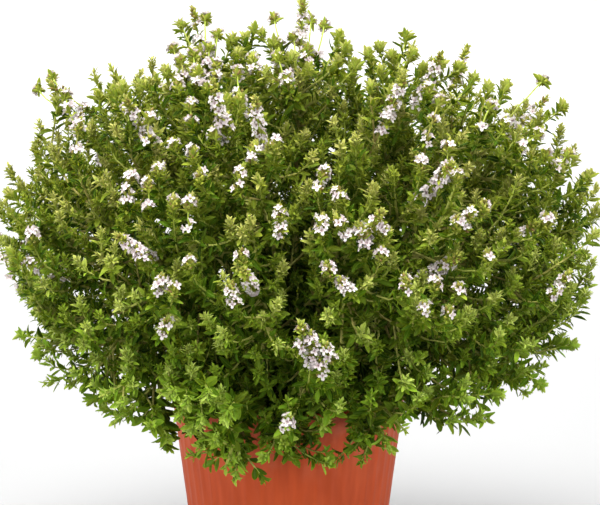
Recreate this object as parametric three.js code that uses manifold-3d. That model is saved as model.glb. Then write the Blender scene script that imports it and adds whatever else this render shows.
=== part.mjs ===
// A bush of flowering thyme growing in a round fluted pot of terracotta-coloured plastic.
// Millimetres, +Z up. The origin is the centre of the pot's flat underside; -Y is the front
// and +X the right-hand side. The stems stand in plain holes in the soil. Each spray is a woody
// stem with its side shoots and small opposite leaves, as one skin; each bloom is a flower
// spike that stands on the tip of a shoot, as one skin of its own colour.
import * as THREE from 'three';
import { mergeVertices } from 'three/addons/utils/BufferGeometryUtils.js';
import Module from 'manifold-3d';

// Gaps between pieces that meet.
const SEAT_GAP = 0.3;
const LEAF_GAP = 0.5;

// The pot: a plain rounded lip, fine flutes below it, a closed flat base.
const POT_HEIGHT = 118;
const RIM_RADIUS = 65;
const BASE_RADIUS = 50;
const POT_WALL = 2.2;
const POT_FLOOR = 2.5;
const BASE_CHAMFER = 1.5;
const LIP_ROUND = 1.2;
const FLUTES = 48;
const FLUTE_DEPTH = 0.5;
const PLAIN_BAND = 9;

// The soil fills the pot to a little below its lip.
const SOIL_TOP = 106;
const SOIL_BUMP = 1.3;
const HOLE_DEPTH = 10;

// Stems: square, as thyme's are, woody at the foot and thin at the tip.
const STEM_FOOT = 2.3;
const STEM_TIP = 1.15;
const SHOOT_FOOT = 1.1;
const SHOOT_TIP = 0.9;
const STEM_RISE = 3;
const NODE_HEIGHT = 1.4;
const BUD_LENGTH = 2.2;

// The stems spread from a crown: a foot stands further out the more its stem leans, and the
// stem leaves the soil more steeply than it ends. Nodes are shares of a stem's length.
const CROWN_RADIUS = 5;
const CROWN_SPREAD = 0.37;
const FOOT_LEAN = 0.38;
const BARE_NODES = [0.17, 0.34];
const LEAF_NODES = [0.5, 0.7, 0.89];
const STEM_TWIST = 18;

// Side shoots: how far they turn off the stem where they leave it and at their end, in
// degrees, how long they are beside what is left of the stem, and how they lift or droop.
const SHOOT_SPLAY = [48, 60];
const SHOOT_ASIDE = [26, 38];
const SHOOT_BEND = 0.45;
const SHOOT_STRETCH = [0.95, 1.2];
const SHOOT_LIFT = 0.1;
const SKIRT_DROOP = -0.12;
const SKIRT_LEAN = 72;
const SHOOT_NODES = [0.55, 1];
const FLOWERING_NODES = [0.4, 0.84];
const LEAFY_EXTRA = 0.4;

// Leaves: small, oval and pointed, in opposite pairs with a smaller pair across them.
const LEAF_LENGTH = 14;
const LEAF_WIDTH = 5.8;
const SMALL_LEAF = 0.78;
const WIDEST_AT = 0.42;
const LEAF_LEAN = 57;
const TOP_LEAF_LEAN = 40;
const LEAN_SPREAD = 6;
const LENGTH_SPREAD = [0.92, 1.06];

// Flower spikes: whorls of four-lobed florets on a stalk, and a green-tipped bud above.
const SPIKE_LENGTH = 38;
const WHORLS = [{ at: 0.24, florets: 3 }, { at: 0.5, florets: 3 }, { at: 0.75, florets: 2 }];
const FLORET_RADIUS = 3.7;
const FLORET_NOTCH = 1.6;
const FLORET_REACH = 5;
const FLORET_LEAN = 68;
const FLORET_THROAT = 0.9;
const FLORET_TWIST = 12;
const SPIKE_BUD = 5.3;
const SPIKE_BUD_AT = 0.9;
const SPIKE_BUD_SWELL = 2.2;
const SPIKE_LIFT = 0.2;

// Round-ended rods stand for what has grown where its distance from the rest is judged.
const STEM_ROD = 1;
const SHOOT_ROD = 1.2;
const LEAF_ROD = 2.2;
const LEAF_ROD_ENDS = [2.5, 1.5];

// Where each spray's tip stands, seen from the middle of the soil: turn about +Z from +X,
// lean from upright, reach in millimetres, then how many side shoots and flower spikes it has.
// The turns near 270 are the front that the picture shows.
const SPRAYS = [
  // the crown
  { turn: 178, lean: 13, reach: 226, shoots: 2, spikes: 1 },
  { turn: 284, lean: 8, reach: 229, shoots: 3, spikes: 1 },
  { turn: 324, lean: 25, reach: 225, shoots: 2, spikes: 1 },
  { turn: 84, lean: 18, reach: 221, shoots: 2, spikes: 1 },
  // the upper ring
  { turn: 196, lean: 34, reach: 226, shoots: 3, spikes: 1 },
  { turn: 229, lean: 33, reach: 222, shoots: 3, spikes: 2 },
  { turn: 262, lean: 31, reach: 220, shoots: 2, spikes: 2 },
  { turn: 303, lean: 42, reach: 214, shoots: 2, spikes: 1 },
  { turn: 2, lean: 38, reach: 222, shoots: 3, spikes: 2 },
  { turn: 60, lean: 38, reach: 216, shoots: 2, spikes: 1 },
  { turn: 125, lean: 37, reach: 218, shoots: 3, spikes: 1 },
  // the middle ring
  { turn: 208, lean: 56, reach: 190, shoots: 3, spikes: 1 },
  { turn: 239, lean: 51, reach: 204, shoots: 3, spikes: 1 },
  { turn: 262, lean: 53, reach: 189, shoots: 2, spikes: 1 },
  { turn: 287, lean: 47, reach: 206, shoots: 2, spikes: 1 },
  { turn: 304, lean: 52, reach: 187, shoots: 2, spikes: 1 },
  { turn: 330, lean: 50, reach: 189, shoots: 2, spikes: 1 },
  { turn: 12, lean: 59, reach: 191, shoots: 3, spikes: 1 },
  { turn: 52, lean: 58, reach: 190, shoots: 3, spikes: 1 },
  { turn: 94, lean: 57, reach: 190, shoots: 3, spikes: 1 },
  { turn: 136, lean: 57, reach: 194, shoots: 3, spikes: 1 },
  { turn: 175, lean: 57, reach: 180, shoots: 3, spikes: 1 },
  // the skirt over the lip
  { turn: 198, lean: 73, reach: 150, shoots: 2, spikes: 0 },
  { turn: 228, lean: 77, reach: 146, shoots: 2, spikes: 0 },
  { turn: 254, lean: 92, reach: 118, shoots: 2, spikes: 0 },
  { turn: 276, lean: 60, reach: 144, shoots: 2, spikes: 1 },
  { turn: 300, lean: 84, reach: 122, shoots: 2, spikes: 0 },
  { turn: 342, lean: 75, reach: 152, shoots: 2, spikes: 0 },
  { turn: 32, lean: 82, reach: 146, shoots: 2, spikes: 0 },
  { turn: 76, lean: 85, reach: 138, shoots: 2, spikes: 0 },
  { turn: 116, lean: 83, reach: 142, shoots: 2, spikes: 0 },
  { turn: 156, lean: 82, reach: 146, shoots: 2, spikes: 0 },
];

// The node each side shoot leaves from, and the sides it tries in turn: 0 faces up, 2 down,
// 1 and 3 to the right and left of the stem.
const SHOOT_PLACES = [
  { at: 0, sides: [3, 1, 2] },
  { at: 1, sides: [2, 1, 0] },
  { at: 0, sides: [1, 3, 0] },
];

const UP = new THREE.Vector3(0, 0, 1);
const MIDDLE = new THREE.Vector3(0, 0, SOIL_TOP);

// One stream of seeded draws, so that the plant always grows alike.
let drawn = 9733;
function draw(low, high) {
  drawn = (drawn * 1664525 + 1013904223) % 4294967296;
  return low + (high - low) * drawn / 4294967296;
}

function along(point, direction, distance) {
  return point.clone().addScaledVector(direction, distance);
}

function leaning(axis, side, degrees) {
  const angle = THREE.MathUtils.degToRad(degrees);
  return side.clone().multiplyScalar(Math.sin(angle)).addScaledVector(axis, Math.cos(angle));
}

function horizontal(degrees) {
  const angle = THREE.MathUtils.degToRad(degrees);
  return new THREE.Vector3(Math.cos(angle), Math.sin(angle), 0);
}

// ---------- One closed skin, drawn as rings of points joined to each other ----------

class Skin {
  constructor() {
    this.points = [];
    this.faces = [];
  }

  add(point) {
    this.points.push(point);
    return this.points.length - 1;
  }

  ring(points) {
    return points.map((point) => this.add(point));
  }

  // Joins a ring to the next one up; one may have two or three times the other's points.
  join(lower, upper) {
    const steps = Math.max(lower.length, upper.length);
    const low = (i) => lower[Math.floor(i * lower.length / steps + 0.5) % lower.length];
    const high = (i) => upper[Math.floor(i * upper.length / steps + 0.5) % upper.length];
    for (let i = 0; i < steps; i += 1) {
      this.triangle(low(i), low(i + 1), high(i + 1));
      this.triangle(low(i), high(i + 1), high(i));
    }
  }

  fan(ring, tip) {
    ring.forEach((point, i) => this.triangle(point, ring[(i + 1) % ring.length], tip));
  }

  triangle(a, b, c) {
    if (a !== b && b !== c && c !== a) {
      this.faces.push(a, b, c);
    }
  }

  geometry() {
    const geometry = new THREE.BufferGeometry();
    const values = this.points.flatMap((point) => point.toArray());
    geometry.setAttribute('position', new THREE.Float32BufferAttribute(values, 3));
    geometry.setIndex(this.faces);
    return geometry;
  }
}

// ---------- Pot ----------

function potRadius(z) {
  return BASE_RADIUS + (RIM_RADIUS - BASE_RADIUS) * z / POT_HEIGHT;
}

function circle(radius, z, count, groove = 0) {
  return Array.from({ length: count }, (_, i) => {
    const point = horizontal(360 * i / count).multiplyScalar(i % 2 ? radius - groove : radius);
    return point.setZ(z);
  });
}

function makePot() {
  const skin = new Skin();
  const inner = (z) => potRadius(z) - POT_WALL;
  const fluteTop = POT_HEIGHT - PLAIN_BAND;
  const lip = POT_HEIGHT - LIP_ROUND;
  const rings = [
    circle(BASE_RADIUS - BASE_CHAMFER, 0, FLUTES),
    circle(potRadius(BASE_CHAMFER), BASE_CHAMFER, 2 * FLUTES, FLUTE_DEPTH),
    circle(potRadius(fluteTop), fluteTop, 2 * FLUTES, FLUTE_DEPTH),
    circle(potRadius(fluteTop + 2), fluteTop + 2, FLUTES),
    circle(RIM_RADIUS, lip, FLUTES),
    circle(RIM_RADIUS - POT_WALL / 2, POT_HEIGHT, FLUTES),
    circle(inner(lip), lip, FLUTES),
    circle(inner(POT_FLOOR), POT_FLOOR, FLUTES),
  ].map((points) => skin.ring(points));
  rings.slice(1).forEach((ring, i) => skin.join(rings[i], ring));
  skin.fan([...rings[0]].reverse(), skin.add(new THREE.Vector3(0, 0, 0)));
  skin.fan(rings.at(-1), skin.add(new THREE.Vector3(0, 0, POT_FLOOR)));
  return skin.geometry();
}

// ---------- Soil ----------

// The surface is lumpy, in soft waves that cross.
function soilHeight(x, y) {
  return SOIL_TOP + SOIL_BUMP * Math.sin(0.17 * x + 0.8) * Math.cos(0.21 * y - 0.4);
}

function makeSoil() {
  const skin = new Skin();
  const radius = (z) => potRadius(z) - POT_WALL - SEAT_GAP;
  const edge = SOIL_TOP - 2 * SOIL_BUMP;
  const base = POT_FLOOR + SEAT_GAP;
  const rounds = [[0.97, FLUTES], [0.6, FLUTES / 3], [0.26, FLUTES / 6]];
  const rings = [circle(radius(base), base, FLUTES), circle(radius(edge), edge, FLUTES)];
  rounds.forEach(([share, count]) => {
    rings.push(circle(radius(edge) * share, 0, count).map((p) => p.setZ(soilHeight(p.x, p.y))));
  });
  const indexed = rings.map((points) => skin.ring(points));
  indexed.slice(1).forEach((ring, i) => skin.join(indexed[i], ring));
  skin.fan([...indexed[0]].reverse(), skin.add(new THREE.Vector3(0, 0, base)));
  skin.fan(indexed.at(-1), skin.add(new THREE.Vector3(0, 0, soilHeight(0, 0))));
  return skin.geometry();
}

// ---------- Keeping shoots and leaves clear of each other ----------

// What has already grown: round-ended rods, each with the shoot that owns it.
const grown = [];

function rodGap(a, b) {
  const run = a.end.clone().sub(a.start);
  const other = b.end.clone().sub(b.start);
  const between = a.start.clone().sub(b.start);
  const aa = run.dot(run);
  const bb = other.dot(other);
  const ab = run.dot(other);
  const ra = run.dot(between);
  const rb = other.dot(between);
  const spread = aa * bb - ab * ab;
  let s = spread > 1e-9 ? THREE.MathUtils.clamp((ab * rb - ra * bb) / spread, 0, 1) : 0;
  const t = THREE.MathUtils.clamp((ab * s + rb) / bb, 0, 1);
  s = THREE.MathUtils.clamp((ab * t - ra) / aa, 0, 1);
  const distance = along(a.start, run, s).distanceTo(along(b.start, other, t));
  return distance - a.radius - b.radius;
}

function isClear(rods, ignored) {
  const others = grown.filter((rod) => !ignored.includes(rod.owner));
  return rods.every((rod) => others.every((other) => rodGap(rod, other) > LEAF_GAP));
}

// ---------- Shoots ----------

// The middle, heading and side directions of a shoot's rings, carried along its curve.
function framesAlong(path, stations, side) {
  let u = side;
  return stations.map((at) => {
    const heading = path.getTangent(at);
    u = u.clone().addScaledVector(heading, -u.dot(heading)).normalize();
    return { middle: path.getPoint(at), heading, u, v: heading.clone().cross(u) };
  });
}

// The four sides of a square stem, in turn about its heading.
function sidesOf(frame) {
  return [frame.v, frame.u.clone().negate(), frame.v.clone().negate(), frame.u];
}

function squareAt(frame, width, shift = 0) {
  const half = width / 2;
  const middle = along(frame.middle, frame.heading, shift);
  return [[1, 1], [-1, 1], [-1, -1], [1, -1]].map(([a, b]) => (
    along(along(middle, frame.u, a * half), frame.v, b * half)));
}

function rodsAlong(path, radius, owner, from, count) {
  return Array.from({ length: count }, (_, i) => ({
    start: path.getPoint(from + (1 - from) * i / count),
    end: path.getPoint(from + (1 - from) * (i + 1) / count),
    radius,
    owner,
  }));
}

// A shoot: its curve, its leaf nodes and what grows from each side of each node.
function newShoot(path, side, widths, nodes) {
  const stations = nodes.map((node) => node.at);
  const frames = framesAlong(path, stations, side);
  const shoot = { path, side, widths, length: path.getLength(), spike: null, bud: BUD_LENGTH };
  shoot.nodes = nodes.map((node, i) => (
    { ...node, frame: frames[i], parts: [null, null, null, null] }));
  return shoot;
}

function widthAt(shoot, at) {
  return shoot.widths[0] + (shoot.widths[1] - shoot.widths[0]) * at;
}

// ---------- Leaf: a pointed blade with a ridge, drawn out of one side of a node ----------

function leafPoints(node, width, side, leaf) {
  const { heading, middle } = node.frame;
  const across = heading.clone().cross(side);
  const blade = leaning(heading, side, leaf.lean);
  const root = along(along(middle, side, width / 2), heading, -NODE_HEIGHT / 2);
  const waist = along(root, blade, leaf.length * WIDEST_AT);
  const halfWidth = leaf.length * LEAF_WIDTH / LEAF_LENGTH / 2;
  return {
    root,
    left: along(waist, across, -halfWidth),
    right: along(waist, across, halfWidth),
    tip: along(root, blade, leaf.length),
    blade,
  };
}

function leafRod(points, leaf, owner) {
  return {
    start: along(points.root, points.blade, LEAF_ROD_ENDS[0]),
    end: along(points.root, points.blade, leaf.length - LEAF_ROD_ENDS[1]),
    radius: LEAF_ROD * leaf.length / LEAF_LENGTH,
    owner,
  };
}

function growLeaf(skin, corners, points) {
  const [topRight, topLeft, left, right] = corners;
  const a = skin.add(points.left);
  const b = skin.add(points.right);
  const tip = skin.add(points.tip);
  skin.triangle(left, right, b);
  skin.triangle(left, b, a);
  skin.triangle(a, b, tip);
  skin.triangle(right, topRight, b);
  skin.triangle(left, a, topLeft);
  skin.triangle(topLeft, a, tip);
  skin.triangle(topRight, topLeft, tip);
  skin.triangle(topRight, tip, b);
}

// ---------- Floret: a short tube that opens into four lobes round a sunken throat ----------

function growFloret(skin, corners, node, width, side, turned) {
  const { heading, middle } = node.frame;
  const axis = leaning(heading, side, FLORET_LEAN);
  const u = heading.clone().cross(side);
  const v = axis.clone().cross(u);
  const mouth = along(along(middle, side, width / 2), axis, FLORET_REACH);
  const lobes = Array.from({ length: 8 }, (_, i) => {
    const angle = THREE.MathUtils.degToRad(45 + 45 * i + turned);
    const radius = i % 2 ? FLORET_RADIUS : FLORET_NOTCH;
    return along(along(mouth, u, radius * Math.cos(angle)), v, radius * Math.sin(angle));
  });
  const ring = skin.ring(lobes);
  skin.join(corners, ring);
  skin.fan(ring, skin.add(along(mouth, axis, -FLORET_THROAT)));
}

// ---------- Drawing a shoot with all that grows from it as one skin ----------

function growShoot(skin, shoot, base) {
  let last = base;
  shoot.nodes.forEach((node) => {
    const width = widthAt(shoot, node.at);
    if (node.plain) {
      const ring = skin.ring(squareAt(node.frame, width * (node.swell ?? 1)));
      skin.join(last, ring);
      last = ring;
      return;
    }
    const lower = skin.ring(squareAt(node.frame, width, -NODE_HEIGHT / 2));
    const upper = skin.ring(squareAt(node.frame, width, NODE_HEIGHT / 2));
    skin.join(last, lower);
    node.parts.forEach((part, i) => {
      const next = (i + 1) % 4;
      const corners = [upper[next], upper[i], lower[i], lower[next]];
      growPart(skin, corners, node, width, i, part);
    });
    last = upper;
  });
  if (shoot.spike) {
    skin.triangle(last[0], last[1], last[2]);
    skin.triangle(last[0], last[2], last[3]);
    return;
  }
  const end = shoot.nodes.at(-1).frame;
  skin.fan(last, skin.add(along(end.middle, end.heading, shoot.bud)));
}

function growPart(skin, corners, node, width, i, part) {
  const [topRight, topLeft, left, right] = corners;
  const side = sidesOf(node.frame)[i];
  if (part?.kind === 'leaf') {
    growLeaf(skin, corners, part.points);
  } else if (part?.kind === 'floret') {
    growFloret(skin, corners, node, width, side, part.turned);
  } else if (part?.kind === 'shoot') {
    growShoot(skin, part.shoot, corners);
  } else {
    skin.triangle(left, right, topRight);
    skin.triangle(left, topRight, topLeft);
  }
}

// ---------- The plan of a spray: woody stem, side shoots, leaves ----------

function stemPath(spray) {
  const out = horizontal(spray.turn);
  const foot = along(MIDDLE, out, CROWN_RADIUS + CROWN_SPREAD * spray.lean);
  foot.z += STEM_RISE;
  const reach = spray.reach - (spray.spikes ? SPIKE_LENGTH : 0);
  const tip = along(MIDDLE, leaning(UP, out, spray.lean), reach);
  const span = tip.distanceTo(foot);
  const bend = along(foot, leaning(UP, out, FOOT_LEAN * spray.lean), 0.5 * span);
  return new THREE.QuadraticBezierCurve3(foot, bend, tip);
}

function planSpray(spray) {
  const path = stemPath(spray);
  const nodes = [
    ...BARE_NODES.map((at) => ({ at, plain: true })),
    ...LEAF_NODES.map((at) => ({ at, plain: false })),
    { at: 1, plain: spray.spikes > 0, leafy: true },
  ];
  const side = horizontal(spray.turn + 90 + draw(-STEM_TWIST, STEM_TWIST));
  const stem = newShoot(path, side, [STEM_FOOT, STEM_TIP], nodes);
  grown.push(...rodsAlong(path, STEM_FOOT / 2, stem, 0, 4));
  grown.push(...rodsAlong(path, STEM_ROD, stem, 0.4, 8));
  return { ...spray, stem, sideShoots: [] };
}

// A side shoot leaves one side of a node and bends up beside its parent; on the skirt it droops.
function sideShoot(parent, node, sideIndex, length, lift, flowering) {
  const side = sidesOf(node.frame)[sideIndex];
  const { heading, middle } = node.frame;
  const root = along(middle, side, widthAt(parent, node.at) / 2);
  const bend = along(root, leaning(heading, side, draw(...SHOOT_SPLAY)), SHOOT_BEND * length);
  const end = along(root, leaning(heading, side, draw(...SHOOT_ASIDE)), length);
  end.z += lift * length;
  const path = new THREE.QuadraticBezierCurve3(root, bend, end);
  const nodes = (flowering ? FLOWERING_NODES : SHOOT_NODES)
    .map((at) => ({ at, plain: false, leafy: at === 1 }));
  if (flowering) {
    nodes.push({ at: 1, plain: true });
  }
  return newShoot(path, heading.clone().cross(side), [SHOOT_FOOT, SHOOT_TIP], nodes);
}

function planSideShoots(spray) {
  const { stem } = spray;
  const lift = spray.lean > SKIRT_LEAN ? SKIRT_DROOP : SHOOT_LIFT;
  const leafNodes = stem.nodes.filter((one) => !one.plain);
  SHOOT_PLACES.slice(0, spray.shoots).forEach(({ at, sides }, order) => {
    const node = leafNodes[at];
    const flowering = order < spray.spikes - 1;
    const stretch = (1 - node.at) * stem.length * draw(...SHOOT_STRETCH);
    const length = stretch + (spray.spikes && !flowering ? LEAFY_EXTRA * SPIKE_LENGTH : 0);
    sides.some((sideIndex) => {
      if (node.parts[sideIndex]) {
        return false;
      }
      const shoot = sideShoot(stem, node, sideIndex, length, lift, flowering);
      const rods = rodsAlong(shoot.path, SHOOT_ROD, shoot, 0.15, 4);
      const spike = flowering ? planSpike(shoot) : null;
      const all = spike ? [...rods, ...spike.rods] : rods;
      if (!isClear(all, [stem])) {
        return false;
      }
      node.parts[sideIndex] = { kind: 'shoot', shoot };
      grown.push(...all);
      shoot.spike = spike;
      spray.sideShoots.push(shoot);
      return true;
    });
  });
}

function planLeaves(spray) {
  [spray.stem, ...spray.sideShoots].forEach((shoot) => {
    shoot.nodes.filter((node) => !node.plain).forEach((node, place) => {
      node.parts.forEach((part, i) => {
        const main = i % 2 === place % 2;
        if (part || (shoot === spray.stem && place === 0 && !main)) {
          return;
        }
        const lean = (node.leafy ? TOP_LEAF_LEAN : LEAF_LEAN) + draw(-LEAN_SPREAD, LEAN_SPREAD);
        const length = LEAF_LENGTH * (main ? 1 : SMALL_LEAF) * draw(...LENGTH_SPREAD);
        const leaf = { lean, length };
        const points = leafPoints(node, widthAt(shoot, node.at), sidesOf(node.frame)[i], leaf);
        const rod = leafRod(points, leaf, shoot);
        if (isClear([rod], [shoot])) {
          node.parts[i] = { kind: 'leaf', points };
          grown.push(rod);
        }
      });
    });
  });
}

function makeSpray(spray) {
  const skin = new Skin();
  const { stem } = spray;
  const start = stem.path.getPoint(0);
  const upright = { heading: UP, u: stem.side, v: UP.clone().cross(stem.side) };
  const sunk = { ...upright, middle: start.clone().setZ(SOIL_TOP - HOLE_DEPTH) };
  const risen = { ...upright, middle: start };
  const foot = skin.ring(squareAt(sunk, STEM_FOOT));
  const collar = skin.ring(squareAt(risen, STEM_FOOT));
  skin.triangle(foot[0], foot[2], foot[1]);
  skin.triangle(foot[0], foot[3], foot[2]);
  skin.join(foot, collar);
  growShoot(skin, stem, collar);
  return skin.geometry();
}

// ---------- The plan of a flower spike on a shoot's tip ----------

function planSpike(shoot) {
  const end = shoot.nodes.at(-1).frame;
  const foot = along(end.middle, end.heading, SEAT_GAP);
  const bend = along(foot, end.heading, SPIKE_LENGTH / 2);
  const lifted = end.heading.clone().lerp(UP, SPIKE_LIFT).normalize();
  const tip = along(bend, lifted, SPIKE_LENGTH / 2 - SEAT_GAP);
  const path = new THREE.QuadraticBezierCurve3(foot, bend, tip);
  const nodes = WHORLS.map(({ at, florets }) => ({ at, florets, plain: false }));
  nodes.push({ at: SPIKE_BUD_AT, plain: true, swell: SPIKE_BUD_SWELL });
  const spike = newShoot(path, end.u, [widthAt(shoot, 1), SHOOT_TIP], nodes);
  spike.bud = SPIKE_BUD;
  spike.nodes.filter((node) => !node.plain).forEach((node, place) => {
    const step = node.florets === 2 ? 2 : 1;
    for (let k = 0; k < node.florets; k += 1) {
      const turned = draw(-FLORET_TWIST, FLORET_TWIST);
      node.parts[(place + k * step) % 4] = { kind: 'floret', turned };
    }
  });
  spike.rods = rodsAlong(path, STEM_ROD, spike, 0, 3);
  spike.nodes.filter((node) => !node.plain).forEach((node) => {
    sidesOf(node.frame).forEach((side, i) => {
      if (node.parts[i]) {
        const axis = leaning(node.frame.heading, side, FLORET_LEAN);
        const mouth = along(node.frame.middle, axis, FLORET_REACH);
        spike.rods.push({ start: node.frame.middle, end: mouth, radius: FLORET_RADIUS, owner: spike });
      }
    });
  });
  return spike;
}

function makeSpike(shoot) {
  const skin = new Skin();
  const end = shoot.nodes.at(-1).frame;
  const base = skin.ring(squareAt(end, widthAt(shoot, 1), SEAT_GAP));
  skin.triangle(base[0], base[2], base[1]);
  skin.triangle(base[0], base[3], base[2]);
  growShoot(skin, shoot.spike, base);
  return skin.geometry();
}

// ---------- Cutting the stem holes ----------

const wasm = await Module();
wasm.setup();

function toSolid(geometry) {
  const bare = geometry.clone();
  bare.deleteAttribute('normal');
  bare.deleteAttribute('uv');
  const merged = mergeVertices(bare);
  const vertProperties = new Float32Array(merged.attributes.position.array);
  const triVerts = new Uint32Array(merged.index.array);
  return new wasm.Manifold(new wasm.Mesh({ numProp: 3, vertProperties, triVerts }));
}

function fromSolid(solid) {
  const mesh = solid.getMesh();
  const geometry = new THREE.BufferGeometry();
  const positions = new Float32Array(mesh.vertProperties);
  geometry.setAttribute('position', new THREE.BufferAttribute(positions, 3));
  geometry.setIndex(new THREE.BufferAttribute(new Uint32Array(mesh.triVerts), 1));
  return geometry;
}

function cutHoles(soil, sprays) {
  const width = STEM_FOOT + 2 * SEAT_GAP;
  const depth = HOLE_DEPTH + SEAT_GAP + 2 * SOIL_BUMP;
  let solid = toSolid(soil);
  sprays.forEach(({ stem }) => {
    const hole = new THREE.BoxGeometry(width, width, depth);
    hole.rotateZ(Math.atan2(stem.side.y, stem.side.x));
    const foot = stem.path.getPoint(0);
    hole.translate(foot.x, foot.y, SOIL_TOP - HOLE_DEPTH - SEAT_GAP + depth / 2);
    solid = solid.subtract(toSolid(hole));
  });
  return fromSolid(solid);
}

// ---------- Putting the plant together ----------

const plastic = new THREE.MeshStandardMaterial({ color: 0xb24d2a, roughness: 0.5, metalness: 0 });
const earth = new THREE.MeshStandardMaterial({ color: 0x4a3322, roughness: 1, metalness: 0 });
const foliage = new THREE.MeshStandardMaterial({ color: 0x6b7a2e, roughness: 0.6, metalness: 0 });
const petals = new THREE.MeshStandardMaterial({ color: 0xdcccdc, roughness: 0.7, metalness: 0 });

const group = new THREE.Group();

function addMesh(name, geometry, material) {
  geometry.computeVertexNormals();
  const mesh = new THREE.Mesh(geometry, material);
  mesh.name = name;
  group.add(mesh);
}

function numbered(word, index) {
  return `${word}_${String(index + 1).padStart(2, '0')}`;
}

const sprays = SPRAYS.map(planSpray);
sprays.filter((spray) => spray.spikes > 0).forEach(({ stem }) => {
  stem.spike = planSpike(stem);
  grown.push(...stem.spike.rods);
});
sprays.forEach(planSideShoots);
sprays.forEach(planLeaves);
const topped = sprays.flatMap(({ stem, sideShoots }) => [stem, ...sideShoots])
  .filter((shoot) => shoot.spike);

addMesh('pot', makePot(), plastic);
addMesh('soil', cutHoles(makeSoil(), sprays), earth);
sprays.forEach((spray, i) => addMesh(numbered('spray', i), makeSpray(spray), foliage));
topped.forEach((shoot, i) => addMesh(numbered('bloom', i), makeSpike(shoot), petals));

export default group;
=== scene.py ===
import math

import bpy
import numpy as np
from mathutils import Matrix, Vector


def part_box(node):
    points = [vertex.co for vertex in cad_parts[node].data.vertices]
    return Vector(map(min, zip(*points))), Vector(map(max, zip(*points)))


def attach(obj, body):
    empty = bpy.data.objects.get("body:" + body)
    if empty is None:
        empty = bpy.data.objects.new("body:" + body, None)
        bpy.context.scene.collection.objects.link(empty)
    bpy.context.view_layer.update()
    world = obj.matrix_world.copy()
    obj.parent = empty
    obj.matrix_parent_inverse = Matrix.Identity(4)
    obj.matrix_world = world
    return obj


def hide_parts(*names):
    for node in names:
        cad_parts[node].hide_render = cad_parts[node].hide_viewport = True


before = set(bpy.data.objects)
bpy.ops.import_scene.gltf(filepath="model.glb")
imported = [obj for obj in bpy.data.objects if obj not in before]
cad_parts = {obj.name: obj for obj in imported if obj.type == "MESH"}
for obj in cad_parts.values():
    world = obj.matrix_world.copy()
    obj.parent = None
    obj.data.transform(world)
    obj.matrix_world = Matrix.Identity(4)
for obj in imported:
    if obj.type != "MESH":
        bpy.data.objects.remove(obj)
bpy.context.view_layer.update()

# ---------------------------------------------------------------------------------------------
# The pot: a round tapered flower pot, moulded in one piece from terracotta-coloured plastic.
# Fine upright flutes run round it below a plain band, and the lip is rounded over.
# ---------------------------------------------------------------------------------------------
MM = 0.001
POT_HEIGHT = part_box("pot")[1][2] / MM
RIM_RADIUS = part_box("pot")[1][0] / MM
BASE_RADIUS = 50
POT_WALL = 2.2
POT_FLOOR = 2.5
BASE_CHAMFER = 1.5
LIP_ROUND = 1.1
FLUTES = 48
FLUTE_DEPTH = 0.55
FLUTE_ROUND = 0.6
STEPS_PER_FLUTE = 6
PLAIN_BAND = 9
FLUTE_FADE = 2.5
FLUTES_FROM = 4
WALL_RINGS = 9
# Where the flutes run out under the plain band: millimetres over their top, and share of depth.
FLUTE_ENDS = ((-1.2, 0.7), (0, 0.25), (0.8, 0))
# The foot is hollow underneath, inside the ring that it stands on.
FOOT_HOLLOW = 1.2
FOOT_INSETS = (14, 12)
CHAMFER_ANGLES = (0.5, 1.0, 1.57)
LIP_ANGLES = (30, 60, 90, 120, 150, 180)
INSIDE_HEIGHTS = (96, 50)
INSIDE_CORNER = 2
FLOOR_INSET = 4


def pot_radius(z):
    return BASE_RADIUS + (RIM_RADIUS - BASE_RADIUS) * z / POT_HEIGHT


def turning(degrees):
    angle = np.radians(degrees)
    return np.stack([np.cos(angle), np.sin(angle), np.zeros_like(angle)], axis=-1)


def fluted_ring(radius, z, depth):
    """One ring of the pot's skin; each flute is a shallow hollow between two narrow ridges."""
    count = FLUTES * STEPS_PER_FLUTE
    share = np.arange(count) / STEPS_PER_FLUTE
    hollow = np.abs(np.sin(np.pi * share)) ** FLUTE_ROUND
    points = turning(360 * share / FLUTES) * (radius - depth * hollow)[:, None]
    points[:, 2] = z
    return points


def joined_rings(rings):
    """The rows of point numbers of rings of the same count, and the quads between them."""
    rows = [np.arange(len(ring)) + sum(len(r) for r in rings[:i]) for i, ring in enumerate(rings)]
    faces = []
    for low, high in zip(rows, rows[1:]):
        faces += np.stack([low, np.roll(low, -1), np.roll(high, -1), high], axis=1).tolist()
    return rows, faces


def dressed(mesh, finishes, sharp_from):
    """An object of a mesh, with its materials; edges that turn more than an angle stay sharp."""
    for finish in finishes:
        mesh.materials.append(finish)
    mesh.polygons.foreach_set("use_smooth", np.ones(len(mesh.polygons), bool))
    mesh.set_sharp_from_angle(angle=math.radians(sharp_from))
    piece = bpy.data.objects.new(mesh.name, mesh)
    bpy.context.collection.objects.link(piece)
    return piece


def new_piece(name, points, faces, finishes, sharp_from=50):
    """A piece whose points are given in millimetres; the object is in metres."""
    mesh = bpy.data.meshes.new(name)
    mesh.from_pydata(np.asarray(points) * MM, [], faces)
    return dressed(mesh, finishes, sharp_from)


def new_finish(name, roughness, specular=0.5):
    """A Principled material and a short way to add nodes to it."""
    material = bpy.data.materials.new(name)
    material.use_nodes = True
    tree = material.node_tree
    shader = tree.nodes["Principled BSDF"]
    shader.inputs["Roughness"].default_value = roughness
    shader.inputs["Specular IOR Level"].default_value = specular

    def node(kind, **settings):
        made = tree.nodes.new("ShaderNode" + kind)
        for key, value in settings.items():
            socket = made.inputs.get(key.replace("_", " "))
            if socket is None or hasattr(made, key):
                setattr(made, key, value)
            elif isinstance(value, bpy.types.NodeSocket):
                tree.links.new(value, socket)
            else:
                socket.default_value = value
        return made

    return material, shader, node, tree.links.new


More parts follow.
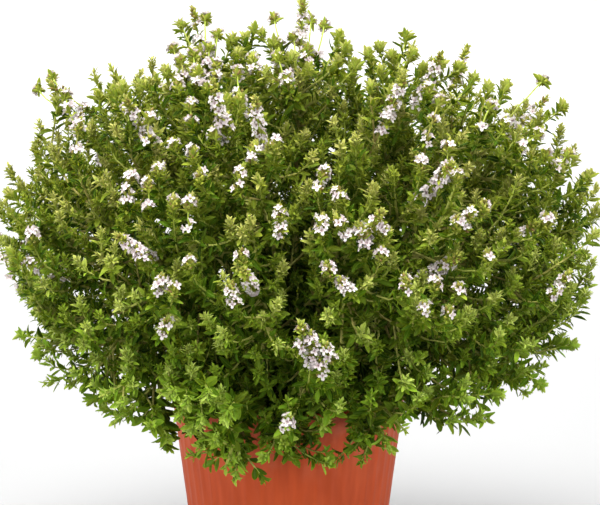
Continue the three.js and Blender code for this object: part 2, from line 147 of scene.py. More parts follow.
def blended(node, link, how, share, first, second):
    """A colour mix; share, first and second are numbers, colours or sockets."""
    mix = node("Mix", data_type="RGBA", blend_type=how)
    for socket, value in zip((mix.inputs[0], mix.inputs[6], mix.inputs[7]), (share, first, second)):
        if isinstance(value, bpy.types.NodeSocket):
            link(value, socket)
        elif isinstance(value, tuple):
            socket.default_value = (*value, 1)
        else:
            socket.default_value = value
    return mix.outputs[2]


def scaled(node, link, value, low, high, new_low, new_high):
    """A value moved from one range to another and held inside it."""
    step = node("MapRange")
    link(value, step.inputs["Value"])
    for name, number in zip(("From Min", "From Max", "To Min", "To Max"), (low, high, new_low, new_high)):
        step.inputs[name].default_value = number
    return step.outputs["Result"]


def noise(node, link, place, scale, detail=3.0, stretch=(1, 1, 1)):
    """Noise over a place, drawn out along an axis where stretch is below one."""
    mapping = node("Mapping")
    link(place, mapping.inputs["Vector"])
    mapping.inputs["Scale"].default_value = stretch
    texture = node("TexNoise")
    texture.inputs["Scale"].default_value = scale
    texture.inputs["Detail"].default_value = detail
    link(mapping.outputs["Vector"], texture.inputs["Vector"])
    return texture.outputs["Fac"]


def bumped(node, link, shader, height, strength, distance):
    bump = node("Bump")
    bump.inputs["Strength"].default_value = strength
    bump.inputs["Distance"].default_value = distance
    link(height, bump.inputs["Height"])
    link(bump.outputs["Normal"], shader.inputs["Normal"])


def pot_plastic():
    """Satin plastic: faint flow streaks down the wall, dusty scuffs high up, fine grain."""
    material, shader, node, link = new_finish("terracotta_plastic", 0.5, 0.2)
    place = node("TexCoord").outputs["Object"]
    height = node("SeparateXYZ")
    link(place, height.inputs[0])
    streaks = noise(node, link, place, 260, 2.0, (1, 1, 0.05))
    clouds = noise(node, link, place, 28, 4.0)
    colour = blended(node, link, "MIX", scaled(node, link, streaks, 0.3, 0.7, 0, 1),
                     (0.295, 0.038, 0.006), (0.365, 0.050, 0.009))
    colour = blended(node, link, "MIX", scaled(node, link, clouds, 0.45, 0.75, 0, 0.35),
                     colour, (0.43, 0.078, 0.022))
    high_up = scaled(node, link, height.outputs["Z"], 0.075, 0.118, 0, 1)
    dust = node("Math", operation="MULTIPLY")
    link(high_up, dust.inputs[0])
    link(scaled(node, link, noise(node, link, place, 75, 5.0), 0.48, 0.72, 0, 0.5), dust.inputs[1])
    colour = blended(node, link, "MIX", dust.outputs[0], colour, (0.50, 0.18, 0.11))
    link(colour, shader.inputs["Base Color"])
    link(scaled(node, link, clouds, 0.3, 0.7, 0.42, 0.58), shader.inputs["Roughness"])
    bumped(node, link, shader, noise(node, link, place, 1500, 2.0), 0.12, 0.0002)
    return material


def make_pot():
    """Rings from under the foot up the outside, over the lip and down the inside."""
    flute_top = POT_HEIGHT - PLAIN_BAND
    lip = POT_HEIGHT - LIP_ROUND
    middle = RIM_RADIUS - POT_WALL / 2
    rings = [fluted_ring(BASE_RADIUS - FOOT_INSETS[0], FOOT_HOLLOW, 0)]
    rings += [fluted_ring(BASE_RADIUS - inset, 0, 0) for inset in (FOOT_INSETS[1], BASE_CHAMFER)]
    for angle in CHAMFER_ANGLES:
        radius = BASE_RADIUS - BASE_CHAMFER * (1 - math.sin(angle))
        depth = FLUTE_DEPTH * angle / CHAMFER_ANGLES[-1]
        rings.append(fluted_ring(radius, BASE_CHAMFER * (1 - math.cos(angle)), depth))
    for z in np.linspace(FLUTES_FROM, flute_top - FLUTE_FADE, WALL_RINGS):
        rings.append(fluted_ring(pot_radius(z), z, FLUTE_DEPTH))
    for rise, share in FLUTE_ENDS:
        rings.append(fluted_ring(pot_radius(flute_top + rise), flute_top + rise, FLUTE_DEPTH * share))
    rings.append(fluted_ring(pot_radius(lip), lip, 0))
    for angle in np.radians(LIP_ANGLES):
        radius = middle + LIP_ROUND * math.cos(angle)
        rings.append(fluted_ring(radius, lip + LIP_ROUND * math.sin(angle), 0))
    for z in (*INSIDE_HEIGHTS, POT_FLOOR + INSIDE_CORNER):
        rings.append(fluted_ring(pot_radius(z) - POT_WALL, z, 0))
    rings.append(fluted_ring(BASE_RADIUS - FLOOR_INSET, POT_FLOOR, 0))
    rows, faces = joined_rings(rings)
    faces.append(rows[0][::-1].tolist())
    faces.append(rows[-1].tolist())
    return new_piece("flower_pot", np.concatenate(rings), faces, [pot_plastic()])


pot = make_pot()
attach(pot, "root")
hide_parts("pot")

# ---------------------------------------------------------------------------------------------
# The soil: dark, moist potting compost that fills the pot to a little under its lip. Its
# surface is crumbly, and bits of bark and fibre lie in it.
# ---------------------------------------------------------------------------------------------
SEAT_GAP = 0.3
SOIL_TOP = 106
SOIL_BUMP = 1.3
SOIL_EDGE = SOIL_TOP - 2 * SOIL_BUMP
SOIL_ROUNDS = 42
SOIL_SPOKES = 160
EDGE_SINK = 14
CHIPS = 900
CHIP_SIZES = (0.8, 2.4)
CHIP_FLATNESS = (0.35, 0.7)


def soil_height(x, y):
    """Shallow waves with crumbs and grains on them."""
    waves = SOIL_BUMP * np.sin(0.17 * x + 0.8) * np.cos(0.21 * y - 0.4)
    crumbs = 0.35 * np.sin(1.9 * x + 0.7 * y) * np.sin(1.6 * y - 0.9 * x)
    grains = 0.2 * np.sin(3.7 * x) * np.cos(4.1 * y)
    return SOIL_TOP + waves + (crumbs + grains)


def soil_finish():
    material, shader, node, link = new_finish("potting_compost", 0.95, 0.2)
    place = node("TexCoord").outputs["Object"]
    fine = noise(node, link, place, 700, 5.0)
    coarse = noise(node, link, place, 160, 4.0)
    colour = blended(node, link, "MIX", scaled(node, link, fine, 0.3, 0.7, 0, 1),
                     (0.012, 0.007, 0.004), (0.075, 0.042, 0.022))
    colour = blended(node, link, "MIX", scaled(node, link, coarse, 0.55, 0.7, 0, 0.6),
                     colour, (0.13, 0.07, 0.035))
    link(colour, shader.inputs["Base Color"])
    bumped(node, link, shader, fine, 0.8, 0.0008)
    return material


def make_soil():
    """The fill as one closed skin, with crumbs and bark chips pressed into its top."""
    edge = pot_radius(SOIL_EDGE) - POT_WALL - SEAT_GAP
    base = POT_FLOOR + SEAT_GAP
    spokes = turning(360 * np.arange(SOIL_SPOKES) / SOIL_SPOKES)
    rings = [spokes * (pot_radius(base) - POT_WALL - 2) + (0, 0, base), spokes * edge + (0, 0, SOIL_EDGE)]
    for share in np.linspace(0.985, 0.03, SOIL_ROUNDS):
        ring = spokes * edge * share
        sink = (1 - min(1, (1 - share) * EDGE_SINK)) * SOIL_BUMP
        ring[:, 2] = soil_height(ring[:, 0], ring[:, 1]) - sink
        rings.append(ring)
    rows, faces = joined_rings(rings)
    faces.append(rows[0][::-1].tolist())
    faces.append(rows[-1].tolist())
    points = [np.concatenate(rings)]
    luck = np.random.default_rng(11)
    corners = np.array([(1, 0, 0), (0, 1, 0), (-1, 0, 0), (0, -1, 0), (0, 0, 1), (0, 0, -1)])
    sides = [(0, 1, 4), (1, 2, 4), (2, 3, 4), (3, 0, 4), (1, 0, 5), (2, 1, 5), (3, 2, 5), (0, 3, 5)]
    for _ in range(CHIPS):
        x, y = turning(luck.uniform(0, 360))[:2] * (edge - 3) * math.sqrt(luck.uniform(0, 1))
        length = luck.uniform(*CHIP_SIZES)
        size = length * np.array([1, luck.uniform(0.5, 1), luck.uniform(*CHIP_FLATNESS)]) / 2
        turn = luck.uniform(0, math.tau)
        chip = corners * size * luck.uniform(0.75, 1.2, (6, 1))
        cosine, sine = math.cos(turn), math.sin(turn)
        chip = chip @ np.array([[cosine, sine, 0], [-sine, cosine, 0], [0, 0, 1]])
        start = sum(len(p) for p in points)
        points.append(chip + (x, y, soil_height(x, y) + size[2] * 0.3))
        faces += [[start + i for i in side] for side in sides]
    return new_piece("potting_soil", np.concatenate(points), faces, [soil_finish()], sharp_from=40)


soil = make_soil()
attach(soil, "root")
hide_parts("soil")

# ---------------------------------------------------------------------------------------------
# The plan of the plant: 32 woody stems rise from the soil and fan out into a dome, each with
# the side shoots and the flower spike that its solid has. It grew as one living thing.
# ---------------------------------------------------------------------------------------------
# Where each stem's tip stands, seen from the middle of the soil: turn about +Z from +X, lean
# from upright, reach in millimetres, then its side shoots and flower spikes.
SPRAYS = [
    # the crown
    (178, 13, 226, 2, 1), (284, 8, 229, 3, 1), (324, 25, 225, 2, 1), (84, 18, 221, 2, 1),
    # the upper ring
    (196, 34, 226, 3, 1), (229, 33, 222, 3, 2), (262, 31, 220, 2, 2), (303, 42, 214, 2, 1),
    (2, 38, 222, 3, 2), (60, 38, 216, 2, 1), (125, 37, 218, 3, 1),
    # the middle ring
    (208, 56, 190, 3, 1), (239, 51, 204, 3, 1), (262, 53, 189, 2, 1), (287, 47, 206, 2, 1),
    (304, 52, 187, 2, 1), (330, 50, 189, 2, 1), (12, 59, 191, 3, 1), (52, 58, 190, 3, 1),
    (94, 57, 190, 3, 1), (136, 57, 194, 3, 1), (175, 57, 180, 3, 1),
    # the skirt over the lip
    (198, 73, 150, 2, 0), (228, 77, 146, 2, 0), (254, 92, 118, 2, 0), (276, 60, 144, 2, 1),
    (300, 84, 122, 2, 0), (342, 75, 152, 2, 0), (32, 82, 146, 2, 0), (76, 85, 138, 2, 0),
    (116, 83, 142, 2, 0), (156, 82, 146, 2, 0),
]
UP = np.array([0.0, 0.0, 1.0])
MIDDLE = np.array([0.0, 0.0, SOIL_TOP])
STEM_WIDTHS = (2.3, 1.15)
SHOOT_WIDTHS = (1.1, 0.9)
STEM_RISE = 3
CROWN_RADIUS = 5
CROWN_SPREAD = 0.37
FOOT_LEAN = 0.38
STEM_TWIST = 18
LOW_NODES = (0.17, 0.34)
LEAF_NODES = (0.5, 0.7, 0.89)
FLOWERING_NODES = (0.4, 0.84, 1)
PLAIN_NODES = (0.55, 1)
SHOOT_PLACES = ((0, (3, 1, 2)), (1, (2, 1, 0)), (0, (1, 3, 0)))
SHOOT_SPLAY = (48, 60)
SHOOT_ASIDE = (26, 38)
SHOOT_BEND = 0.45
SHOOT_STRETCH = (0.95, 1.2)
SHOOT_LIFT = 0.1
SKIRT_DROOP = -0.12
SKIRT_LEAN = 72
LEAFY_EXTRA = 0.4
SPIKE_LENGTH = 38
SPIKE_LIFT = 0.2
WHORLS = ((0.24, 3), (0.5, 3), (0.75, 2))
FLORET_RADIUS = 3.7
FLORET_REACH = 5
FLORET_LEAN = 68
FLORET_TWIST = 12
STEM_ROD = 1
SHOOT_ROD = 1.2
SHOOT_GAP = 0.5
NEARLY_ALIGNED = 1e-9

drawn = 9733


def draw(low, high):
    """The next number of the plant's own stream of draws."""
    global drawn
    drawn = (drawn * 1664525 + 1013904223) % 4294967296
    return low + (high - low) * drawn / 4294967296


def unit(vector):
    return vector / np.linalg.norm(vector, axis=-1, keepdims=True)


def leaning(axis, side, degrees):
    return side * math.sin(math.radians(degrees)) + axis * math.cos(math.radians(degrees))


def on_curve(curve, at):
    """Points and headings of a curve with one bend, given by its start, bend and end."""
    start, bend, end = curve
    t = np.atleast_1d(at)[:, None]
    points = (1 - t) ** 2 * start + 2 * t * (1 - t) * bend + t ** 2 * end
    return points, unit((1 - t) * (bend - start) + t * (end - bend))


def curve_length(curve):
    points, _ = on_curve(curve, np.linspace(0, 1, 201))
    return np.linalg.norm(np.diff(points, axis=0), axis=1).sum()


def frames_on(curve, at, side):
    """At each share of a curve: its point, its heading and two directions across it."""
    points, headings = on_curve(curve, at)
    across = []
    for heading in headings:
        side = unit(side - heading * (side @ heading))
        across.append(side)
    across = np.array(across)
    return points, headings, across, np.cross(headings, across)


def rods_on(curve, radius, owner, first, count):
    """Round-ended rods that stand for a shoot where its distance from the rest is judged."""
    points, _ = on_curve(curve, np.linspace(first, 1, count + 1))
    return [(points[i], points[i + 1], radius, owner) for i in range(count)]


def all_clear(rods, grown, own):
    """Whether rods keep their distance from all that has grown, apart from their own stem."""
    others = [rod for rod in grown if rod[3] is not own]
    start = np.array([rod[0] for rod in others])
    run = np.array([rod[1] for rod in others]) - start
    radius = np.array([rod[2] for rod in others])
    run_square = (run * run).sum(1)
    for rod_start, rod_end, rod_radius, _ in rods:
        own_run = rod_end - rod_start
        between = rod_start - start
        square = own_run @ own_run
        along = run @ own_run
        ra = between @ own_run
        rb = (run * between).sum(1)
        spread = square * run_square - along * along
        crossing = (along * rb - ra * run_square) / np.maximum(spread, NEARLY_ALIGNED / 1000)
        s = np.where(spread > NEARLY_ALIGNED, crossing, 0).clip(0, 1)
        t = ((along * s + rb) / run_square).clip(0, 1)
        s = ((along * t - ra) / square).clip(0, 1)
        apart = rod_start + own_run * s[:, None] - start - run * t[:, None]
        if (np.linalg.norm(apart, axis=1) - rod_radius - radius).min() <= SHOOT_GAP:
            return False
    return True


def plan_spike(shoot):
    """The curve of the flower spike on a shoot's tip, and the rods that stand for its florets."""
    points, headings, u, _ = frames_on(shoot["curve"], shoot["nodes"], shoot["side"])
    end, heading, across = points[-1], headings[-1], u[-1]
    foot = end + heading * SEAT_GAP
    bend = foot + heading * SPIKE_LENGTH / 2
    lifted = unit(heading + (UP - heading) * SPIKE_LIFT)
    curve = (foot, bend, bend + lifted * (SPIKE_LENGTH / 2 - SEAT_GAP))
    spike = {"curve": curve, "side": across}
    places = [at for at, _ in WHORLS]
    points, headings, u, v = frames_on(curve, places, across)
    rods = rods_on(curve, STEM_ROD, spike, 0, 3)
    for k, (_, count) in enumerate(WHORLS):
        taken = set()
        for i in range(count):
            draw(-FLORET_TWIST, FLORET_TWIST)
            taken.add((k + i * (2 if count == 2 else 1)) % 4)
        for i, side in enumerate((v[k], -u[k], -v[k], u[k])):
            if i in taken:
                mouth = points[k] + leaning(headings[k], side, FLORET_LEAN) * FLORET_REACH
                rods.append((points[k], mouth, FLORET_RADIUS, spike))
    spike["rods"] = rods
    return spike


def plan_stem(turn, lean, reach, shoots, spikes):
    """A woody stem leaves the soil more steeply than it ends."""
    out = turning(turn)
    foot = MIDDLE + out * (CROWN_RADIUS + CROWN_SPREAD * lean) + UP * STEM_RISE
    tip = MIDDLE + leaning(UP, out, lean) * (reach - (SPIKE_LENGTH if spikes else 0))
    bend = foot + leaning(UP, out, FOOT_LEAN * lean) * 0.5 * np.linalg.norm(tip - foot)
    side = turning(turn + 90 + draw(-STEM_TWIST, STEM_TWIST))
    nodes = [*LOW_NODES, *LEAF_NODES, 1]
    stem = {"curve": (foot, bend, tip), "side": side, "widths": STEM_WIDTHS, "nodes": nodes}
    return {"stem": stem, "lean": lean, "shoots": shoots, "spikes": spikes, "side_shoots": [], "twigs": []}


def plan_side_shoot(stem, at, side_index, length, lift):
    """A side shoot leaves one side of a node and bends up beside its stem; on the skirt it droops."""
    points, headings, u, v = frames_on(stem["curve"], stem["nodes"], stem["side"])
    k = stem["nodes"].index(at)
    side = (v[k], -u[k], -v[k], u[k])[side_index]
    width = STEM_WIDTHS[0] + (STEM_WIDTHS[1] - STEM_WIDTHS[0]) * at
    root = points[k] + side * width / 2
    bend = root + leaning(headings[k], side, draw(*SHOOT_SPLAY)) * SHOOT_BEND * length
    end = root + leaning(headings[k], side, draw(*SHOOT_ASIDE)) * length + UP * lift * length
    return {"curve": (root, bend, end), "side": np.cross(headings[k], side), "widths": SHOOT_WIDTHS}


def plan_side_shoots(spray, grown):
    stem = spray["stem"]
    lift = SKIRT_DROOP if spray["lean"] > SKIRT_LEAN else SHOOT_LIFT
    taken = set()
    for order, (place, sides) in enumerate(SHOOT_PLACES[:spray["shoots"]]):
        at = LEAF_NODES[place]
        flowering = order < spray["spikes"] - 1
        length = (1 - at) * curve_length(stem["curve"]) * draw(*SHOOT_STRETCH)
        if spray["spikes"] and not flowering:
            length += LEAFY_EXTRA * SPIKE_LENGTH
        for side_index in sides:
            if (place, side_index) in taken:
                continue
            shoot = plan_side_shoot(stem, at, side_index, length, lift)
            shoot["nodes"] = FLOWERING_NODES if flowering else PLAIN_NODES
            rods = rods_on(shoot["curve"], SHOOT_ROD, shoot, 0.15, 4)
            if flowering:
                shoot["spike"] = plan_spike(shoot)
                rods += shoot["spike"]["rods"]
            if all_clear(rods, grown, stem):
                taken.add((place, side_index))
                grown += rods
                spray["side_shoots"].append(shoot)
                break


def plan_plant():
    sprays = [plan_stem(*spray) for spray in SPRAYS]
    grown = []
    for spray in sprays:
        stem = spray["stem"]
        grown += rods_on(stem["curve"], STEM_WIDTHS[0] / 2, stem, 0, 4)
        grown += rods_on(stem["curve"], STEM_ROD, stem, 0.4, 8)
    for spray in sprays:
        if spray["spikes"]:
            spray["stem"]["spike"] = plan_spike(spray["stem"])
            grown += spray["stem"]["spike"]["rods"]
    for spray in sprays:
        plan_side_shoots(spray, grown)
    return sprays


sprays = plan_plant()

# ---------------------------------------------------------------------------------------------
# The twigs: each stem branches into many thin leafy twigs, which end side by side all over the
# bush, upright on top and hanging over the lip. They fill it inside and over the soil as well.
# ---------------------------------------------------------------------------------------------
# How far the bush reaches from the middle of the soil, by the lean from upright: on its left,
# on its right, and at its front and back.
BUSH_LEANS = (0, 20, 30, 40, 50, 60, 70, 80, 90, 100, 112)
BUSH_LEFT = (206, 208, 213, 210, 202, 188, 152, 132, 99, 84, 76)
BUSH_RIGHT = (204, 206, 210, 218, 216, 202, 167, 150, 109, 80, 70)
BUSH_DEEP = (202, 200, 198, 192, 182, 166, 148, 130, 114, 98, 90)
# The lean of the lowest twigs; they hang deeper at the front, a little left of its middle.
LOWEST_LEAN = 87
HANGING_MORE = 15
HANGING_TURN = 254
GOLDEN_TURN = 137.508
LEAN_LUCK = 2
TURN_LUCK = 4
HEAD_TWIGS = 1050
OUTER_TWIGS = 1300
INNER_TWIGS = 1800
CORE_TWIGS = 1080
BASAL_TWIGS = 420
HEAD_SHARE = (0.88, 1.01)
OUTER_SHARE = (0.8, 0.96)
INNER_SHARE = (0.4, 0.86)
CORE_SHARE = (0.2, 0.6)
BASAL_RISE = (8, 76)
BASAL_INSET = 6
# How strongly each kind of twig grows and how dark its leaves are painted: the strongest are the palest
# and the most leafy, and the weak twigs deep in the bush and over the soil get darker leaves as painted
# shade for the depth of the bush.
HEAD_VIGOUR_AND_SHADE = 1.0
OUTER_VIGOUR_AND_SHADE = 0.5
INNER_VIGOUR_AND_SHADE = 0.3
CORE_VIGOUR_AND_SHADE = 0.0
BASAL_VIGOUR_AND_SHADE = 0.1
TWIG_LENGTHS = (12, 90)
TWIG_WIDTHS = (1.25, 0.65)
# A twig's end turns upright by this share, and less so where the bush leans out and hangs.
TWIG_RISE = 0.72
RISING_BELOW = 72
RISE_FADE = 38
TWIG_SWEEP = 0.42
COLUMN_SWEEP = 1.8
MOST_SWEEP = 0.8
POT_CLEARANCE = 2.5
WALL_KEPT = 4
# Flowers and heads behind the front shoots: on strong twigs this far back and this high.
FLOWERING_CHANCE = 0.24
FLOWERS_BEHIND = 15
FLOWERS_ABOVE = 20
WHORLS_BEHIND = (1, 5)
WHORL_STEP = 9.0
HEAD_CHANCE = 0.42
HEADS_ABOVE = 85
# The low flanks are thinner: this share of their weaker twigs is missing.
FLANK_BELOW = 45
FLANK_ASIDE = 75
FLANK_BARE = 0.62
# A stem bears twigs all along, best at a slight slant. A spot or a spray that has many already
# is less welcome to the next.
BEARING_SPAN = (0.06, 0.96)
BEARING_SPOTS = 16
SPOTS_TRIED = 12
COLUMN_MARGIN = 8
SLANTS = (0.84, 0.985)
SLANT_COSTS = (2.5, 3)
TAKEN_COST = 10
MANY_TWIGS = 86
MANY_COST = 0.8
# From this lean on, leaves are those of the shaded skirt, and they are painted darker as painted shade;
# the twigs of the core are much like it.
LOW_FROM = 65
LOW_OVER = 35
CORE_LOWNESS = 0.7
# How the front is seen in the picture: from a little above, at this distance.
VIEW_LIFT = 14
VIEW_DISTANCE = 1350
VIEW_DEPTHS = (-200, 100, 2.0)
FRONT_SHARE = 1.04
# The shoots that stand out on the front, in millimetres: how far their tip is seen to the right
# of the rim's middle and above it, how far their column of flowers runs to the right and down
# from there, and its whorls. One with no whorls is green.
FRONT_SHOOTS = [
    (-124, 163, -1, 19, 3), (-116, 146, -4, 17, 2), (-90, 156, 1, 10, 1), (-77, 152, -4, 18, 2),
    (-53, 186, 2, 19, 3), (-54, 158, -2, 12, 2), (-53, 131, 0, 6, 1), (-42, 142, 2, 9, 1),
    (-64, 136, 0, 6, 1), (-28, 176, -4, 29, 3), (-20, 183, 1, 9, 2), (-6, 184, 4, 14, 2),
    (3, 195, 2, 13, 2), (20, 202, 0, 10, 2), (-18, 134, -4, 14, 2), (-26, 120, -6, 13, 2),
    (-73, 122, 1, 9, 1), (-87, 118, -5, 23, 3), (-78, 114, 0, 19, 2), (-55, 103, -4, 24, 2),
    (-55, 70, 0, 6, 1), (-84, 76, 4, 10, 2), (-64, 103, 0, 6, 1), (-70, 60, -3, 12, 2),
    (-67, 36, -4, 12, 2), (-64, 55, 0, 6, 1), (-5, 98, 3, 24, 3), (-32, 56, 1, 13, 2),
    (-26, 74, 0, 6, 1), (21, 120, -7, 14, 2), (27, 108, 6, 10, 2), (19, 93, -2, 13, 2),
    (27, 93, 8, 13, 2), (53, 88, 0, 6, 1), (40, 88, 6, 16, 2), (22, 66, 2, 8, 1),
    (29, 58, 6, 8, 2), (52, 75, 0, 6, 1), (12, 28, 7, 27, 5), (7, 33, 3, 18, 2),
    (17, 14, 4, 13, 2), (21, 22, 4, 15, 3), (0, -19, -2, 9, 2), (78, 166, 1, 7, 1),
    (85, 160, -8, 23, 3), (90, 135, -5, 23, 3), (94, 119, 0, 6, 1), (74, 125, 0, 6, 1),
    (82, 58, -1, 7, 1), (102, 98, -3, 14, 2), (94, 92, 0, 6, 1), (109, 101, 0, 6, 1),
    (65, 60, 2, 12, 2), (76, 44, 0, 6, 1), (89, 42, 0, 6, 1), (95, 55, 0, 6, 1),
    (143, 170, -11, 9, 2), (114, 157, -7, 12, 2), (121, 148, 0, 6, 1), (141, 141, -11, 9, 2),
    (157, 130, -6, 11, 2), (144, 130, 0, 6, 1), (144, 93, 0, 6, 1), (111, 73, 0, 6, 1),
    (156, 62, -10, 16, 3), (-132, 173, 4, 14, 3), (-140, 166, 5, 10, 2), (-142, 85, 0, 8, 2),
    (-27, 161, 0, 6, 1), (-45, 167, 0, 6, 1), (-7, 136, 0, 6, 1), (-1, 172, 1, 9, 2),
    (11, 188, 0, 8, 2), (-46, 206, -2, 14, 2), (-8, 206, 2, 12, 2), (13, 205, -1, 14, 2),
    (-34, 150, 0, 8, 2), (-62, 168, 1, 8, 1), (-49, 119, 0, 7, 1), (-92, 167, 0, 12, 0),
    (-106, 163, 1, 12, 0), (-68, 176, 2, 12, 0), (-31, 194, 0, 12, 0), (33, 189, 0, 12, 0),
    (51, 190, 0, 12, 0), (66, 196, 0, 12, 0), (112, 167, -2, 12, 0), (154, 156, -4, 12, 0),
    (169, 118, -6, 12, 0), (172, 85, -8, 10, 0), (-156, 108, 7, 10, 0), (-155, 75, 8, 9, 0),
    (-149, 28, 10, 5, 0), (-140, 17, 11, 3, 0), (159, 22, -12, 2, 0), (141, 0, -12, -2, 0),
    (118, -6, -12, -4, 0), (100, -9, -11, -6, 0), (-94, -11, 11, -6, 0), (-60, 202, 3, 12, 0),
    (-39, 197, -2, 12, 2), (-15, 197, 1, 12, 0), (29, 196, -2, 10, 0), (-19, 200, 0, 12, 0),
    (-24, 195, 0, 10, 0), (-64, 189, 2, 12, 2), (-60, 183, 1, 10, 2), (-130, 160, 6, 10, 0),
    (45, 186, 0, 10, 0), (58, 185, -1, 12, 0), (38, 180, 0, 8, 0), (70, 186, -1, 10, 0),
    (52, 177, 0, 10, 0), (64, 174, -1, 12, 0), (28, 182, 0, 8, 0), (46, 168, 0, 10, 0),
    (76, 178, -2, 10, 0), (58, 166, -1, 8, 0), (-57, -11, 3, -8, 0), (-49, -22, 3, -8, 0),
    (-41, -31, 2, -9, 0), (-54, -25, 4, -8, 0), (-66, -6, 5, -7, 0), (-46, -8, 2, -6, 0),
    (-35, -19, 2, -8, 0), (-61, -18, 5, -8, 0), (-50, 176, 0, 10, 2), (-40, 180, 0, 10, 2),
    (-28, 186, 0, 10, 0), (-12, 176, 0, 12, 0), (-34, 160, 0, 12, 0), (2, 184, 0, 12, 0),
    (-44, 190, 0, 10, 2), (-8, 192, 0, 10, 0), (12, 178, 0, 12, 0), (96, 178, -2, 10, 0),
    (86, 180, -2, 10, 0), (104, 172, -3, 12, 0), (122, 168, -4, 10, 0), (-82, 168, 2, 12, 0),
    (-98, 165, 2, 10, 0),
]


def bush_share(places):
    """How far out places round the middle of the soil are; one is the bush's surface."""
    reaches = np.linalg.norm(places, axis=1)
    leans = np.degrees(np.arccos(places[:, 2] / reaches))
    round_axis = places[:, :2] / np.hypot(places[:, 0], places[:, 1])[:, None]
    leftward = np.maximum(-round_axis[:, 0], 0) ** 2
    rightward = np.maximum(round_axis[:, 0], 0) ** 2
    parts = ((leftward, BUSH_LEFT), (rightward, BUSH_RIGHT), (round_axis[:, 1] ** 2, BUSH_DEEP))
    return reaches / sum(part * np.interp(leans, BUSH_LEANS, side) for part, side in parts)


def front_place(across, up, share):
    """The first place that the view meets at that share of the bush, or the nearest to it."""
    lift = math.radians(VIEW_LIFT)
    back = turning(90)
    depth = np.arange(*VIEW_DEPTHS)[:, None]
    seen = turning(0) * across + (back * math.sin(lift) + UP * math.cos(lift)) * up
    places = seen * (1 + depth / VIEW_DISTANCE) + (back * math.cos(lift) - UP * math.sin(lift)) * depth
    places += UP * (POT_HEIGHT - SOIL_TOP)
    shares = bush_share(places)
    met = np.flatnonzero(shares < share)
    return MIDDLE + places[met[0] if len(met) else np.argmin(shares)]


def new_twig(tip, vigour, whorls=0, column=0, head=False, heading=None):
    """A twig that has not joined its stem yet, and the whorls in the column on its end."""
    return {"tip": tip, "heading": heading, "column": column, "whorls": whorls,
            "vigour": vigour, "head": head}


def front_tips():
    """The tips of the shoots that stand out on the front."""
    for across, up, aside, drop, whorls in FRONT_SHOOTS:
        tip = front_place(across, up, FRONT_SHARE)
        low = front_place(across + aside, up - drop, FRONT_SHARE)
        length = np.linalg.norm(tip - low)
        column = length if whorls else 0
        yield new_twig(tip, HEAD_VIGOUR_AND_SHADE, whorls, column, True, (tip - low) / length)


def spread_tips(count, shares, vigour, luck):
    """Tips spread evenly over the bush, in shares of how far it reaches there."""
    order = (np.arange(count) + 0.5) / count
    leans = np.degrees(np.arccos(1 - (1 - math.cos(math.radians(BUSH_LEANS[-1]))) * order))
    leans += luck.uniform(-LEAN_LUCK, LEAN_LUCK, count)
    turns = GOLDEN_TURN * np.arange(count) + luck.uniform(-TURN_LUCK, TURN_LUCK, count)
    angle = np.radians(leans)[:, None]
    places = turning(turns) * np.sin(angle) + UP * np.cos(angle)
    places /= bush_share(places)[:, None]
    lowest = LOWEST_LEAN + HANGING_MORE * np.cos(np.radians(turns - HANGING_TURN)).clip(0) ** 3
    kept = (leans < lowest) & (luck.uniform(0, 1, count) < (places ** 2).sum(1) / BUSH_LEFT[0] ** 2)
    strong = vigour == HEAD_VIGOUR_AND_SHADE
    flank = (places[:, 2] < FLANK_BELOW) & (np.abs(places[:, 0]) > FLANK_ASIDE) & (not strong)
    kept &= ~(flank & (luck.uniform(0, 1, count) < FLANK_BARE))
    for place in places[kept] * luck.uniform(*shares, (kept.sum(), 1)):
        flowers = strong and place[1] > FLOWERS_BEHIND and place[2] > FLOWERS_ABOVE
        flowers = flowers and luck.uniform(0, 1) < FLOWERING_CHANCE
        whorls = int(luck.integers(*WHORLS_BEHIND)) if flowers else 0
        high = strong and place[2] > HEADS_ABOVE
        head = whorls > 0 or (high and luck.uniform(0, 1) < HEAD_CHANCE)
        yield new_twig(MIDDLE + place, vigour, whorls, WHORL_STEP * whorls, head)


def basal_tips(count, luck):
    """Low shoots that cover the soil and the feet of the stems inside the lip."""
    radius = (RIM_RADIUS - POT_WALL - BASAL_INSET) * np.sqrt(luck.uniform(0, 1, count))
    turns = luck.uniform(0, 360, count)
    places = turning(turns) * radius[:, None] + UP * luck.uniform(*BASAL_RISE, (count, 1))
    for place in places:
        yield new_twig(MIDDLE + place, BASAL_VIGOUR_AND_SHADE)


def in_pot(points, clearance):
    """Whether each point is in the pot's wall, under its lip or in the soil."""
    radius = np.hypot(points[:, 0], points[:, 1])
    outside = pot_radius(points[:, 2]) + clearance
    inside = outside - WALL_KEPT - clearance
    walled = (points[:, 2] < POT_HEIGHT + clearance) & (radius < outside) & (radius > inside)
    return walled | ((points[:, 2] < SOIL_TOP + 1) & (radius < outside))


def lowness(lean):
    """How much a part belongs to the shaded skirt: nothing on top, all of it under the lip."""
    return np.clip((lean - LOW_FROM) / LOW_OVER, 0, 1)


def twig_curve(spot, twig, lean):
    """From its spot on a stem up to its tip, where it heads more upright than it set out."""
    tip, heading = twig["tip"], twig["heading"]
    length = np.linalg.norm(tip - spot)
    if heading is None:
        rise = TWIG_RISE * (1 - np.clip((lean - RISING_BELOW) / RISE_FADE, 0, 1))
        heading = unit((tip - spot) / length * (1 - rise) + UP * rise)
    sweep = max(TWIG_SWEEP * length, min(COLUMN_SWEEP * twig["column"], MOST_SWEEP * length))
    return spot, tip - heading * sweep, tip


